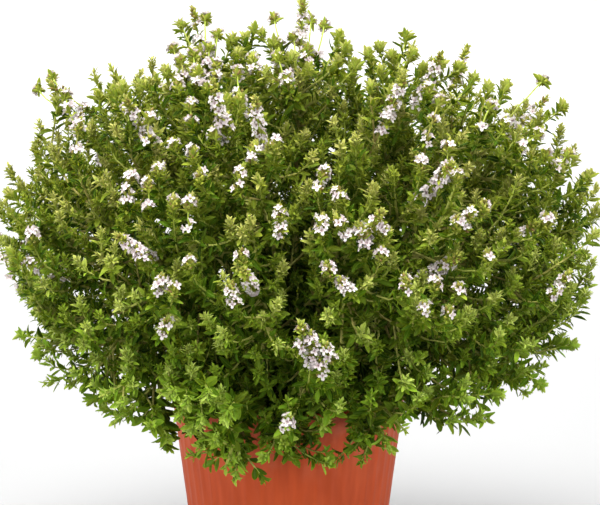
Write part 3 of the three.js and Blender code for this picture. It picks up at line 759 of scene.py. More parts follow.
def all_tips(luck):
    """The tips of all twigs: those that stand out first, then the rest from the outside in."""
    yield from front_tips()
    yield from spread_tips(HEAD_TWIGS, HEAD_SHARE, HEAD_VIGOUR_AND_SHADE, luck)
    yield from spread_tips(OUTER_TWIGS, OUTER_SHARE, OUTER_VIGOUR_AND_SHADE, luck)
    yield from spread_tips(INNER_TWIGS, INNER_SHARE, INNER_VIGOUR_AND_SHADE, luck)
    yield from spread_tips(CORE_TWIGS, CORE_SHARE, CORE_VIGOUR_AND_SHADE, luck)
    yield from basal_tips(BASAL_TWIGS, luck)


def plan_twigs(sprays):
    """Gives every spray its twigs: each tip joins the stem or side shoot that reaches it best."""
    luck = np.random.default_rng(52)
    spots, headings, owners = [], [], []
    for number, spray in enumerate(sprays):
        for shoot in (spray["stem"], *spray["side_shoots"]):
            points, directions = on_curve(shoot["curve"], np.linspace(*BEARING_SPAN, BEARING_SPOTS))
            spots.append(points)
            headings.append(directions)
            owners += [number] * BEARING_SPOTS
    spots = np.concatenate(spots)
    headings = np.concatenate(headings)
    owners = np.array(owners)
    taken = np.zeros(len(spots))
    crowded = np.zeros(len(spots))
    for twig in list(all_tips(luck)):
        away = twig["tip"] - spots
        length = np.linalg.norm(away, axis=1)
        slant = (away * headings).sum(1) / length
        across = SLANT_COSTS[0] * np.maximum(SLANTS[0] - slant, 0)
        along = SLANT_COSTS[1] * np.maximum(slant - SLANTS[1], 0)
        cost = length * (1 + across + along) + TAKEN_COST * taken
        cost += MANY_COST * np.maximum(crowded - MANY_TWIGS, 0)
        shortest = max(TWIG_LENGTHS[0], twig["column"] + COLUMN_MARGIN)
        cost[(length < shortest) | (length > TWIG_LENGTHS[1])] = np.inf
        place = twig["tip"] - MIDDLE
        lean = np.degrees(np.arccos(place[2] / np.linalg.norm(place)))
        for best in np.argsort(cost)[:SPOTS_TRIED]:
            if not np.isfinite(cost[best]):
                break
            curve = twig_curve(spots[best], twig, lean)
            if in_pot(on_curve(curve, np.linspace(0.1, 1, 12))[0], POT_CLEARANCE).any():
                continue
            taken[best] += 1
            crowded[owners == owners[best]] += 1
            twig["curve"] = curve
            twig["side"] = unit(np.cross(headings[best], luck.normal(size=3)))
            twig["widths"] = TWIG_WIDTHS
            twig["low"] = max(lowness(lean), CORE_LOWNESS * (twig["vigour"] == CORE_VIGOUR_AND_SHADE))
            sprays[owners[best]]["twigs"].append(twig)
            break


plan_twigs(sprays)

# ---------------------------------------------------------------------------------------------
# The leaves: small, narrow and pointed, about 5 to 8 mm long and up to 11 mm low on the plant,
# in pairs that stand crosswise up the twig. Tufts of young leaves grow in their axils, and at
# the twig's tip they crowd to a brush or to a rounded head.
# ---------------------------------------------------------------------------------------------
LEAF_LENGTH = 7.6
LOW_LENGTH = 3.0
LEAF_WIDTH = 0.36
LOW_WIDTH = 0.12
LEAF_THICKNESS = 0.035
LEAF_LUCK = 0.15
LEAF_ROLL = 20
LEAF_CURL = (0.35, 0.4)
LEAST_CURL = 0.05
LEAF_FOLD = (0.1, 0.7)
LEAF_CLEARANCE = 0.6
SPREAD_LUCK = 9
CROSS_LUCK = 12
# Down from the tip the pairs stand wider apart, grow to their full length and spread.
MOST_PAIRS = 40
TIP_GAP = 0.75
NODE_GAP = 6.4
LOW_GAP = 1.5
GAP_RISE = 9.5
LOW_GAP_RISE = 5
TIP_LEAF = 2.7
LENGTH_RISE = 7.5
LEAF_SPREAD = (22, 62)
SPREAD_RISE = 14
HEAD_LENGTH = 11
HEAD_LEAFLETS = 30
HEAD_DEPTH = 8.5
HEAD_SPREAD = (6, 72)
HEAD_YOUTH = (0.93, 0.4)
HEAD_LEAF_WIDTH = 0.46
TUFT_CHANCE = 0.62
TUFT_LEAF = (2.6, 4.8)
FULL_BLADE_FROM = 5.4
# Between these heights the leaves go from the low ramp to the top one: the hue turns yellower upward as
# the leaves' own colour, and the low ramp is brighter and the top ramp darker as painted light and painted
# shade for how the light falls.
LOW_RAMP_BELOW = 140
TOP_RAMP_ABOVE = 235
# The order of the finishes that a piece of the plant has.
LEAF, STEM, CALYX_GREEN, PETAL = range(4)


def new_skin():
    """What one piece of the plant is drawn into, part by part."""
    parts = ("points", "corners", "sizes", "map", "finish", "place", "life")
    return {**{part: [] for part in parts}, "count": 0, "cells": 0}


def as_form(points, faces, places, tints):
    """A form's points and tints, and its faces' corners in one row with their places on a cell."""
    return {"points": np.asarray(points), "corners": np.concatenate(faces),
            "sizes": np.array([len(face) for face in faces]), "map": np.array(places), "place": tints}


def draw_into(skin, points, form, finish, life):
    """Draws a form once for each row of points; every copy has a cell of the texture map."""
    copies, size = points.shape[:2]
    order = np.arange(copies)[:, None]
    places = np.empty((copies, len(form["map"]), 3))
    places[:, :, 0] = skin["cells"] + order
    places[:, :, 1:] = form["map"]
    skin["points"].append(points.reshape(-1, 3))
    skin["corners"].append((form["corners"] + order * size + skin["count"]).ravel())
    skin["sizes"].append(np.tile(form["sizes"], copies))
    skin["map"].append(places.reshape(-1, 3))
    skin["finish"].append(np.full(copies * len(form["sizes"]), finish))
    skin["place"].append(np.tile(form["place"], (copies, 1)))
    skin["life"].append(life.reshape(-1, 3))
    skin["count"] += copies * size
    skin["cells"] += copies


def blade_form(stations):
    """A closed leaf: a point at its foot, rings of left edge, midrib, right edge and keel, a tip."""
    share = (stations - 0.06) / 0.94
    widths = np.maximum(np.sin(np.pi * share.clip(0, 1) ** 0.85) ** 0.6, 0.15)
    ring = np.array([(-1, 0), (0, 0), (1, 0), (0, 1)])
    along = np.concatenate([[0], np.repeat(stations, 4), [1]])
    across = np.concatenate([[0], np.outer(widths, ring[:, 0]).ravel(), [0]])
    below = np.concatenate([[0], np.outer(widths, ring[:, 1]).ravel(), [0]])
    tip = len(along) - 1
    edges = (0.03, 0.25, 0.47, 0.75, 0.97)
    faces, places = [], []
    for i in range(len(stations) - 1):
        low, high = stations[i], stations[i + 1]
        for k in range(4):
            a, b = 1 + 4 * i + k, 1 + 4 * i + (k + 1) % 4
            faces.append([a, a + 4, b + 4, b])
            places += [(edges[k], low), (edges[k], high), (edges[k + 1], high), (edges[k + 1], low)]
    for k in range(4):
        middle = (edges[k] + edges[k + 1]) / 2
        last = tip - 4
        faces.append([0, 1 + k, 1 + (k + 1) % 4])
        places += [(middle, 0), (edges[k], stations[0]), (edges[k + 1], stations[0])]
        faces.append([last + k, tip, last + (k + 1) % 4])
        places += [(edges[k], stations[-1]), (middle, 1), (edges[k + 1], stations[-1])]
    points = np.stack([along, across, below], axis=1)
    return as_form(points, faces, places, np.stack([np.abs(across), along, below], axis=1))


FULL_BLADE = blade_form(np.array([0.13, 0.38, 0.66, 0.88]))
SMALL_BLADE = blade_form(np.array([0.24, 0.66]))


def draw_leaves(skin, leaves):
    """Draws leaves given as rows of foot, direction and upper side, then six single values."""
    full = leaves[:, 9] >= FULL_BLADE_FROM
    for form, chosen in ((FULL_BLADE, full), (SMALL_BLADE, ~full)):
        rows = leaves[chosen]
        if not len(rows):
            continue
        foot, direction, upper = rows[:, None, 0:3], rows[:, None, 3:6], rows[:, None, 6:9]
        length, width, curl, fold, youth_and_shade, fate = [rows[:, i, None] for i in range(9, 15)]
        along, across, below = form["points"].T
        bend = curl * along
        forward = length * np.sin(bend) / curl
        down = length * (1 - np.cos(bend)) / curl
        half = length * width / 2 * (1 + 0.3 * (fate - 0.5))
        rise = np.abs(across) * half * np.sin(fold) - down - below * LEAF_THICKNESS * length
        points = (foot + direction * forward[:, :, None] + upper * rise[:, :, None]
                  + np.cross(upper, direction) * (across * half * np.cos(fold))[:, :, None])
        # How high the leaf stands: it blends the low ramp, brightened as painted light, into the top ramp,
        # darkened as painted shade.
        height = ((rows[:, None, 2] - LOW_RAMP_BELOW) / (TOP_RAMP_ABOVE - LOW_RAMP_BELOW)).clip(0, 1)
        life = np.broadcast_to(np.stack([youth_and_shade, fate, height], axis=2), points.shape)
        draw_into(skin, points, form, LEAF, life)


def turned_about(vectors, axes, degrees):
    """Vectors at right angles to their axes, turned about them."""
    angle = np.radians(degrees)[:, None]
    return vectors * np.cos(angle) + np.cross(axes, vectors) * np.sin(angle)


def leaf_rows(feet, stems, sides, spreads, lengths, width, youth_and_shade, luck):
    """Leaves that stand off their stems by the given angles, each bent and turned a little."""
    count = len(feet)
    spread = np.radians(spreads + luck.normal(0, SPREAD_LUCK, count))[:, None]
    lift = UP * luck.normal(0.06, 0.12, (count, 1))
    direction = unit(stems * np.cos(spread) + sides * np.sin(spread) + lift)
    upper = stems * np.sin(spread) - sides * np.cos(spread) + UP * 0.2
    upper = unit(upper - direction * (upper * direction).sum(1)[:, None])
    upper = turned_about(upper, direction, luck.normal(0, LEAF_ROLL, count))
    sizes = lengths * (1 + LEAF_LUCK * luck.normal(0, 1, count).clip(-2, 2))
    curl = luck.normal(*LEAF_CURL, count)
    curl[np.abs(curl) < LEAST_CURL] = LEAST_CURL
    fold = luck.uniform(*LEAF_FOLD, count)
    widths = np.full(count, width)
    fate = luck.uniform(0, 1, count)
    return np.column_stack([feet, direction, upper, sizes, widths, curl, fold, youth_and_shade, fate])


def grow_leaves(shoot, luck, bare=0.3, leave_tip=0.0, vigour=1.0, low=0.0):
    """All the leaves of one shoot: pairs, wider apart down the stem, and tufts in their axils."""
    length = curve_length(shoot["curve"])
    widening = 1 - np.exp(-(np.arange(MOST_PAIRS) / (GAP_RISE - LOW_GAP_RISE * low)) ** 1.4)
    gaps = TIP_GAP + (NODE_GAP + LOW_GAP * low - TIP_GAP) * widening
    from_tip = 0.4 + leave_tip + np.cumsum(gaps * luck.uniform(0.8, 1.2, MOST_PAIRS))
    from_tip = from_tip[from_tip < length * (1 - bare)]
    if not len(from_tip):
        return np.zeros((0, 15))
    stations = (1 - from_tip / length)[::-1]
    points, stems, u, v = frames_on(shoot["curve"], stations, shoot["side"])
    crosswise = np.arange(len(stations)) * 90 + luck.normal(0, CROSS_LUCK, len(stations))
    crosswise = crosswise + luck.uniform(0, 90)
    sides = turned_about(u, stems, crosswise)
    feet = np.concatenate([points + sides * 0.25, points - sides * 0.25])
    stems, sides = np.tile(stems, (2, 1)), np.concatenate([sides, -sides])
    down = np.tile(from_tip[::-1], 2)
    below_head = down - 0.6 * leave_tip
    full = LEAF_LENGTH + LOW_LENGTH * low
    lengths = TIP_LEAF + (full - TIP_LEAF) * (1 - np.exp(-below_head / LENGTH_RISE))
    lengths = lengths * (1 - 0.3 * ((down - 40) / 45).clip(0, 1))
    opening = 1 - np.exp(-below_head / SPREAD_RISE)
    spreads = LEAF_SPREAD[0] + (LEAF_SPREAD[1] - LEAF_SPREAD[0]) * opening
    # Youth is highest at the tip and sets the leaf's tone; it is pulled down on weak inner twigs and on
    # the skirt, which is painted shade for the depth of the bush and the shade under it.
    youth_and_shade = vigour * (1 - 0.45 * low) / (1 + np.exp((down + 0.4 * leave_tip - HEAD_LENGTH) / 4))
    youth_and_shade = (0.85 * youth_and_shade + 0.16 * vigour + luck.normal(0, 0.09, len(down))).clip(0, 1)
    width = LEAF_WIDTH + LOW_WIDTH * low
    rows = [leaf_rows(feet, stems, sides, spreads, lengths, width, youth_and_shade, luck)]
    chance = (TUFT_CHANCE + 0.3 * (down < HEAD_LENGTH)) * (1 - 0.5 * low) * (0.5 + 0.5 * vigour)
    tufted = (down > 2.5) & (luck.uniform(0, 1, len(down)) < chance)
    if tufted.any():
        chosen = [values[tufted] for values in (feet, stems, sides, down, youth_and_shade)]
        rows.append(grow_tufts(*chosen, width, luck))
    return np.concatenate(rows)


def grow_tufts(feet, stems, sides, down, youth_and_shade, width, luck):
    """The tufts of young leaves in the axils: two little pairs that stand crosswise."""
    axes = unit(stems + sides * luck.uniform(0.4, 1.0, (len(feet), 1)))
    across = unit(np.cross(axes, sides))
    other = np.cross(across, axes)
    rows = []
    size = luck.uniform(*TUFT_LEAF, len(feet)) * (0.75 + 0.25 * (1 - np.exp(-down / 16)))
    youth_and_shade = (0.12 + youth_and_shade + luck.normal(0, 0.1, len(feet))).clip(0, 1)
    for way, height, spread, share in ((across, 0.7, 50, 1), (other, 1.9, 32, 0.8)):
        for sign in (1, -1):
            base = feet + axes * height
            spreads = np.full(len(feet), spread)
            rows.append(leaf_rows(base, axes, way * sign, spreads, size * share, width, youth_and_shade, luck))
    return np.concatenate(rows)


def head_leaves(shoot, luck):
    """The rounded head on a strong shoot's tip, crowded with small leaflets."""
    points, stems, u, _ = frames_on(shoot["curve"], (1.0,), shoot["side"])
    share = (np.arange(HEAD_LEAFLETS) + 0.5) / HEAD_LEAFLETS
    stem = np.tile(stems[0], (HEAD_LEAFLETS, 1))
    sides = turned_about(np.tile(u[0], (HEAD_LEAFLETS, 1)), stem, GOLDEN_TURN * np.arange(HEAD_LEAFLETS))
    feet = points[0] + sides * 0.3 + stem * (1.0 - HEAD_DEPTH * share)[:, None]
    spreads = HEAD_SPREAD[0] + (HEAD_SPREAD[1] - HEAD_SPREAD[0]) * share ** 0.8
    spreads = spreads + luck.normal(0, 6, HEAD_LEAFLETS)
    youth_and_shade = HEAD_YOUTH[0] - HEAD_YOUTH[1] * share + luck.normal(0, 0.12, HEAD_LEAFLETS)
    youth_and_shade = youth_and_shade.clip(0, 1)
    lengths = (1.9 + 2.0 * np.sin(np.pi * (0.15 + 0.7 * share))) * luck.uniform(0.75, 1.15)
    return leaf_rows(feet, stem, sides, spreads, lengths, HEAD_LEAF_WIDTH, youth_and_shade, luck)


def without_pot(rows):
    """Leaves that would stand in the pot or the soil are left out."""
    tips = rows[:, 0:3] + rows[:, 3:6] * rows[:, 9:10]
    middles = rows[:, 0:3] + rows[:, 3:6] * rows[:, 9:10] * 0.5
    return rows[~(in_pot(tips, LEAF_CLEARANCE) | in_pot(middles, LEAF_CLEARANCE))]


def leaf_finish():
    """Leaf green: deep on old leaves, lime on young ones, paler below and along the midrib. Leaves deep in
    the bush and on the skirt are darker as painted shade, low leaves take a greener ramp made brighter as
    painted light, and high leaves a yellower ramp made darker as painted shade against the light from
    above.
    """
    material, shader, node, link = new_finish("thyme_leaf", 0.5, 0.035)
    life = node("SeparateXYZ")
    link(node("Attribute", attribute_name="life").outputs["Vector"], life.inputs[0])
    place = node("SeparateXYZ")
    link(node("Attribute", attribute_name="place").outputs["Vector"], place.inputs[0])
    ramps = []
    # One ramp for leaves low on the plant, brighter as painted light, and one for leaves high up, darker
    # as painted shade; they blend by height.
    for old, middle, young in (((0.054, 0.118, 0.004), (0.205, 0.335, 0.022), (0.42, 0.53, 0.100)),
                               ((0.036, 0.076, 0.002), (0.215, 0.252, 0.024), (0.42, 0.395, 0.110))):
        ramp = node("ValToRGB")
        link(life.outputs["X"], ramp.inputs["Fac"])
        # The near-black start of both ramps is painted shade: the leaves of the core and of the weakest
        # inner twigs take it.
        ramp.color_ramp.elements[0].color = (0.006, 0.017, 0.0005, 1)
        ramp.color_ramp.elements[1].color = (*young, 1)
        for at, colour in ((0.2, old), (0.6, middle)):
            ramp.color_ramp.elements.new(at).color = (*colour, 1)
        ramps.append(ramp.outputs["Color"])
    colour = blended(node, link, "MIX", life.outputs["Z"], *ramps)
    colour = blended(node, link, "MIX", scaled(node, link, life.outputs["Y"], 0.6, 1, 0, 0.5),
                     colour, (0.11, 0.125, 0.009))
    colour = blended(node, link, "MULTIPLY", scaled(node, link, life.outputs["Y"], 0, 0.45, 0.5, 0),
                     colour, (0.45, 0.65, 0.45))
    colour = blended(node, link, "MIX", scaled(node, link, place.outputs["Z"], 0.1, 0.9, 0, 0.4),
                     colour, (0.11, 0.18, 0.035))
    colour = blended(node, link, "MIX", scaled(node, link, place.outputs["X"], 0.05, 0.2, 0.3, 0),
                     colour, (0.17, 0.26, 0.035))
    link(colour, shader.inputs["Base Color"])
    shader.inputs["Subsurface Weight"].default_value = 0.25
    shader.inputs["Subsurface Radius"].default_value = (0.9, 1.0, 0.2)
    shader.inputs["Subsurface Scale"].default_value = 0.0007
    veins = node("Math", operation="MULTIPLY_ADD")
    link(place.outputs["Y"], veins.inputs[0])
    veins.inputs[1].default_value = 40
    slant = node("Math", operation="MULTIPLY")
    link(place.outputs["X"], slant.inputs[0])
    slant.inputs[1].default_value = -7
    link(slant.outputs[0], veins.inputs[2])
    wave = node("Math", operation="SINE")
    link(veins.outputs[0], wave.inputs[0])
    bumped(node, link, shader, wave.outputs[0], 0.2, 0.0001)
    return material


thyme_leaf = leaf_finish()

# ---------------------------------------------------------------------------------------------
# The stems and twigs themselves: thin, four-angled, woody and grey-brown at the foot, then tan,
# and fresh green near the tips. Each is drawn as one closed tube, set a little into its parent.
# ---------------------------------------------------------------------------------------------
STEM_STEP = 8.0
STEM_ANGLES = 0.18


def tube_form(count, sides):
    """The faces of a closed tube of that many rings, whose last two points are its ends."""
    rows = np.arange(count * sides).reshape(count, sides)
    heights = 0.02 + 0.96 * np.linspace(0, 1, count)
    faces, places = [], []
    for i in range(count - 1):
        for k in range(sides):
            after = (k + 1) % sides
            faces.append([rows[i, k], rows[i, after], rows[i + 1, after], rows[i + 1, k]])
            places += [(k / sides, heights[i]), ((k + 1) / sides, heights[i]),
                       ((k + 1) / sides, heights[i + 1]), (k / sides, heights[i + 1])]
    for k in range(sides):
        after = (k + 1) % sides
        faces += [[rows.size, rows[0, after], rows[0, k]], [rows.size + 1, rows[-1, k], rows[-1, after]]]
        places += [((k + 0.5) / sides, 0), ((k + 1) / sides, heights[0]), (k / sides, heights[0])]
        places += [((k + 0.5) / sides, 1), (k / sides, heights[-1]), ((k + 1) / sides, heights[-1])]
    return as_form(np.zeros((rows.size + 2, 3)), faces, places, np.zeros((rows.size + 2, 3)))


def draw_tube(skin, points, u, v, radii, youth_and_shade, fate, sides=6):
    """A closed tube round a curve, with four angles drawn out of its round."""
    angles = math.tau * np.arange(sides) / sides
    corner = 1 + STEM_ANGLES * np.cos(4 * angles)
    ring = u[:, None] * (np.cos(angles) * corner)[:, None]
    ring = ring + v[:, None] * (np.sin(angles) * corner)[:, None]
    body = (points[:, None] + ring * radii[:, None, None]).reshape(-1, 3)
    life = np.zeros((len(body) + 2, 3))
    life[:, 0] = np.concatenate([np.repeat(youth_and_shade, sides), youth_and_shade[[0, -1]]])
    life[:, 1] = fate
    whole = np.concatenate([body, points[[0, -1]]])[None]
    draw_into(skin, whole, tube_form(len(points), sides), STEM, life)


def draw_stem(skin, shoot, luck, youth_and_shade, sides=6):
    """One stem or twig, a little uneven in width and with a slightly unsteady line."""
    length = curve_length(shoot["curve"])
    count = max(4, int(length / STEM_STEP))
    stations = np.linspace(0, 1, count)
    points, _, u, v = frames_on(shoot["curve"], stations, shoot["side"])
    sway = luck.normal(0, 0.22, (count, 2)) * np.sin(np.pi * stations)[:, None]
    points = points + u * sway[:, :1] + v * sway[:, 1:]
    widths = np.interp(stations, (0, 1), shoot["widths"])
    draw_tube(skin, points, u, v, widths / 2 * luck.uniform(0.92, 1.12, count),
              np.interp(stations, (0, 1), youth_and_shade), luck.uniform(0, 1), sides)


def stem_finish():
    """Bark: grey-brown below, tan and then olive-green above, with fine length-wise streaks."""
    material, shader, node, link = new_finish("thyme_stem", 0.65, 0.08)
    life = node("SeparateXYZ")
    link(node("Attribute", attribute_name="life").outputs["Vector"], life.inputs[0])
    ramp = node("ValToRGB")
    link(life.outputs["X"], ramp.inputs["Fac"])
    ramp.color_ramp.elements[0].color = (0.10, 0.062, 0.022, 1)
    ramp.color_ramp.elements[1].color = (0.30, 0.40, 0.05, 1)
    for at, colour in ((0.35, (0.30, 0.29, 0.08)), (0.7, (0.37, 0.42, 0.09))):
        ramp.color_ramp.elements.new(at).color = (*colour, 1)
    grain = noise(node, link, node("TexCoord").outputs["Object"], 900, 4.0)
    colour = blended(node, link, "MULTIPLY", scaled(node, link, grain, 0.35, 0.65, 0.6, 0),
                     ramp.outputs["Color"], (0.55, 0.48, 0.42))
    colour = blended(node, link, "MIX", scaled(node, link, life.outputs["Y"], 0.7, 1, 0, 0.5),
                     colour, (0.20, 0.10, 0.05))
    link(colour, shader.inputs["Base Color"])
    bumped(node, link, shader, grain, 0.5, 0.0003)
    return material


thyme_stem = stem_finish()


def new_plant_piece(name, skin, finishes):
    """The mesh of a skin, with its texture map in cells and what its materials read."""
    whole = {part: np.concatenate(rows) for part, rows in skin.items() if isinstance(rows, list)}
    mesh = bpy.data.meshes.new(name)
    mesh.vertices.add(len(whole["points"]))
    mesh.vertices.foreach_set("co", (whole["points"] * MM).ravel())
    mesh.loops.add(len(whole["corners"]))
    mesh.loops.foreach_set("vertex_index", whole["corners"].astype(np.int32))
    mesh.polygons.add(len(whole["sizes"]))
    starts = np.cumsum(whole["sizes"]) - whole["sizes"]
    mesh.polygons.foreach_set("loop_start", starts.astype(np.int32))
    mesh.update(calc_edges=True)
    piece = dressed(mesh, finishes, 75)
    mesh.polygons.foreach_set("material_index", whole["finish"].astype(np.int32))
    for key in ("place", "life"):
        layer = mesh.attributes.new(key, "FLOAT_VECTOR", "POINT")
        layer.data.foreach_set("vector", whole[key].astype(np.float32).ravel())
    across = math.ceil(math.sqrt(skin["cells"]))
    cell = np.stack([whole["map"][:, 0] % across, whole["map"][:, 0] // across], axis=1)
    place = (cell + 0.06 + 0.88 * whole["map"][:, 1:]) / across
    layer = mesh.uv_layers.new(name="OFBake")
    layer.uv.foreach_set("vector", place.astype(np.float32).ravel())
    return piece


# ---------------------------------------------------------------------------------------------
# The sprays: each woody stem with its side shoots, its twigs and all their leaves is one piece, and stands
# in its own hole in the soil.
# ---------------------------------------------------------------------------------------------
HOLE_DEPTH = 10
SPIKE_FOOT = 2
WOODY_SIDES = 8
TWIG_SIDES = 5
# The share of each kind of shoot, from its foot, that has no leaves.
STEM_BARE = 0.4
SHOOT_BARE = 0.12
TWIG_BARE = 0.08


def make_spray(number, spray):
    """One piece: its foot in the soil, its stem, side shoots and twigs, and all their leaves."""
    luck = np.random.default_rng(1000 + number)
    skin = new_skin()
    stem = spray["stem"]
    low = lowness(spray["lean"])
    foot, bend, _ = stem["curve"]
    hole = foot * (1, 1, 0) + UP * (SOIL_TOP - HOLE_DEPTH)
    root = {**stem, "curve": (hole, foot - UP * STEM_RISE, foot + unit(bend - foot)),
            "widths": (STEM_WIDTHS[0], STEM_WIDTHS[0])}
    draw_stem(skin, root, luck, (0, 0), WOODY_SIDES)
    draw_stem(skin, stem, luck, (0, 0.8), WOODY_SIDES)
    leaves = [grow_leaves(stem, luck, STEM_BARE, SPIKE_FOOT if spray["spikes"] else 0, low=low)]
    for shoot in spray["side_shoots"]:
        draw_stem(skin, shoot, luck, (0.35, 1))
        leave_tip = SPIKE_FOOT if "spike" in shoot else 0
        leaves.append(grow_leaves(shoot, luck, SHOOT_BARE, leave_tip, low=low))
    for twig in spray["twigs"]:
        draw_stem(skin, twig, luck, (0.2 + 0.25 * twig["vigour"], 1), TWIG_SIDES)
        leaves.append(grow_leaves(twig, luck, TWIG_BARE, twig["column"], twig["vigour"], twig["low"]))
        if twig["head"] and not twig["whorls"]:
            leaves.append(head_leaves(twig, luck))
    draw_leaves(skin, without_pot(np.concatenate(leaves)))
    piece = new_plant_piece(f"leafy_spray_{number:02d}", skin, [thyme_leaf, thyme_stem])
    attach(piece, "root")
    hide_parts(f"spray_{number:02d}")


for number, spray in enumerate(sprays, 1):
    make_spray(number, spray)

# ---------------------------------------------------------------------------------------------
# The flowers: whorls of small white florets with a breath of pink, about 4 to 6 mm across. Each
# is a ribbed green calyx with a tube that opens into four lobes; dark-tipped stamens stand out.
# ---------------------------------------------------------------------------------------------
FLORET_ROUND = 16
COROLLA_RADIUS = 3.0
FLOWER_SIZES = (0.70, 0.90)
CALYX_ROUND = 10
CALYX_SIZE = 0.84
BUD_SIZE = 0.8
TUBE_LENGTH = 3.1
BUD_SUNK = 1.6
# Most flowers are open, some have lost their petals and the rest are still buds.
OPEN_UNTIL = 0.78
BUD_FROM = 0.9
WHORL_FLOWERS = (6, 10)
WHORL_SLANTS = (30, 74)
WHORL_DEPTH = 1.8
# The two pairs of small leaves under a whorl: their turn, how far down they stand, their length.
WHORL_LEAF_TURNS = (0, 180, 90, 270.0)
WHORL_LEAF_DROPS = (2.0, 2, 4, 4)
WHORL_LEAF_LENGTHS = (5.4, 5.4, 4.4, 4.4)
WHORL_LEAF_SPREAD = 60.0
WHORL_LEAF_YOUTH = 0.62
SPIKE_WHORLS = (0.12, 0.34, 0.54, 0.72)
HEAD_BUDS = 12
HEAD_BUD_SIZES = (0.7, 1.0)


def turned_form(rings, first, last, tints):
    """A closed form turned about +X: rings of points between two end points, with its tints."""
    count = len(rings[0])
    points = np.concatenate([[first], *rings, [last]])
    faces, places = [], []
    end = len(points) - 1
    heights = np.linspace(0.05, 0.95, len(rings))
    for i in range(len(rings) - 1):
        for k in range(count):
            a, b = 1 + count * i + k, 1 + count * i + (k + 1) % count
            faces.append([a, b, b + count, a + count])
            places += [(k / count, heights[i]), ((k + 1) / count, heights[i]),
                       ((k + 1) / count, heights[i + 1]), (k / count, heights[i + 1])]
    for k in range(count):
        after = (k + 1) % count
        faces.append([0, 1 + after, 1 + k])
        places += [((k + 0.5) / count, 0), ((k + 1) / count, heights[0]), (k / count, heights[0])]
        faces.append([end, end - count + k, end - count + after])
        places += [((k + 0.5) / count, 1), (k / count, heights[-1]), ((k + 1) / count, heights[-1])]
    tint = np.zeros((len(points), 3))
    tint[:, 0] = np.concatenate([[tints[0]], np.repeat(tints[1:-1], count), [tints[-1]]])
    return as_form(points, faces, places, tint)


def round_ring(x, radii, count):
    angles = math.tau * np.arange(count) / count
    return np.stack([np.full(count, x), np.cos(angles) * radii, np.sin(angles) * radii], axis=1)


def corolla_form():
    """A short tube that opens into an upper lobe and three lower ones, closed all over."""
    k = np.arange(FLORET_ROUND)
    upper = (k > 1) & (k < 7)
    lower = (k > 9) & (k < 15)
    lobe = np.where(k % 4 == 0, 1.0, np.where(k % 4 == 2, 0.40, 0.84))
    reach = COROLLA_RADIUS * lobe * np.where(upper, 0.86, np.where(lower, 1.1, 1.0))
    lean = np.where(upper, 0.9, np.where(lower, -0.3, 0.2))
    rim = round_ring(0, reach, FLORET_ROUND)
    rim[:, 0] += 0.4 + lean * lobe
    middle = round_ring(0, reach * 0.55 + 0.2, FLORET_ROUND)
    middle[:, 0] += 0.35 + lean * lobe * 0.4
    behind = round_ring(0, reach * 0.55, FLORET_ROUND)
    behind[:, 0] += 0.05 + lean * lobe * 0.4
    rings = [round_ring(-1.6, 0.45, FLORET_ROUND), behind, rim, middle]
    return turned_form(rings, (-3.2, 0, 0), (-0.9, 0, 0), (0.3, 0.4, 0.9, 1.0, 0.75, 0.0))


def calyx_form():
    """A ribbed cup with five short teeth, drawn closed down to its inside."""
    rib = np.arange(CALYX_ROUND) % 2
    teeth = round_ring(0, np.where(rib, 1.2, 0.9), CALYX_ROUND)
    teeth[:, 0] = np.where(rib, 3.8, 3.0)
    foot = round_ring(0.1, 0.45 + 0.05 * rib, CALYX_ROUND)
    belly = round_ring(1.5, 0.92 + 0.1 * rib, CALYX_ROUND)
    rings = [foot, belly, teeth]
    return turned_form(rings, (-0.4, 0, 0), (2.0, 0, 0), (0, 0, 0.4, 1.0, 0.6))


def bud_form():
    """A closed bud, round and a little pointed."""
    rings = [round_ring(0.3, 0.5, 5), round_ring(1.5, 0.8, 5), round_ring(2.8, 0.5, 5)]
    return turned_form(rings, (-0.3, 0, 0), (3.4, 0, 0), (0, 0, 0.4, 0.9, 1.0))


def anther_forms():
    """Four stamens: a thin stalk with a small dark head each."""
    forms = []
    for turn, reach in ((0.5, 1.0), (1.5, 1.3), (2.6, 1.1), (3.7, 0.8)):
        aside = np.array((0, math.cos(turn), math.sin(turn)))
        rings = [round_ring(reach, 0.07, 3) + aside, round_ring(reach + 0.3, 0.24, 3) + aside]
        root, head = (-0.8, *aside[1:] * 0.2), (reach + 0.55, *aside[1:])
        forms.append(turned_form(rings, root, head, (0.9, 0.5, 0.0, 0.0)))
    return forms


COROLLA = corolla_form()
CALYX = calyx_form()
BUD = bud_form()
ANTHERS = anther_forms()


def draw_copies(skin, form, at, ahead, upward, sizes, finish, fates):
    """Draws a form at each place, with its +X ahead and its +Z upward."""
    if not len(at):
        return
    side = np.cross(upward, ahead)
    local = form["points"][None] * sizes[:, None, None]
    points = (at[:, None] + ahead[:, None] * local[:, :, 0:1] + side[:, None] * local[:, :, 1:2]
              + upward[:, None] * local[:, :, 2:3])
    draw_into(skin, points, form, finish, np.broadcast_to(fates[:, None, None], points.shape))


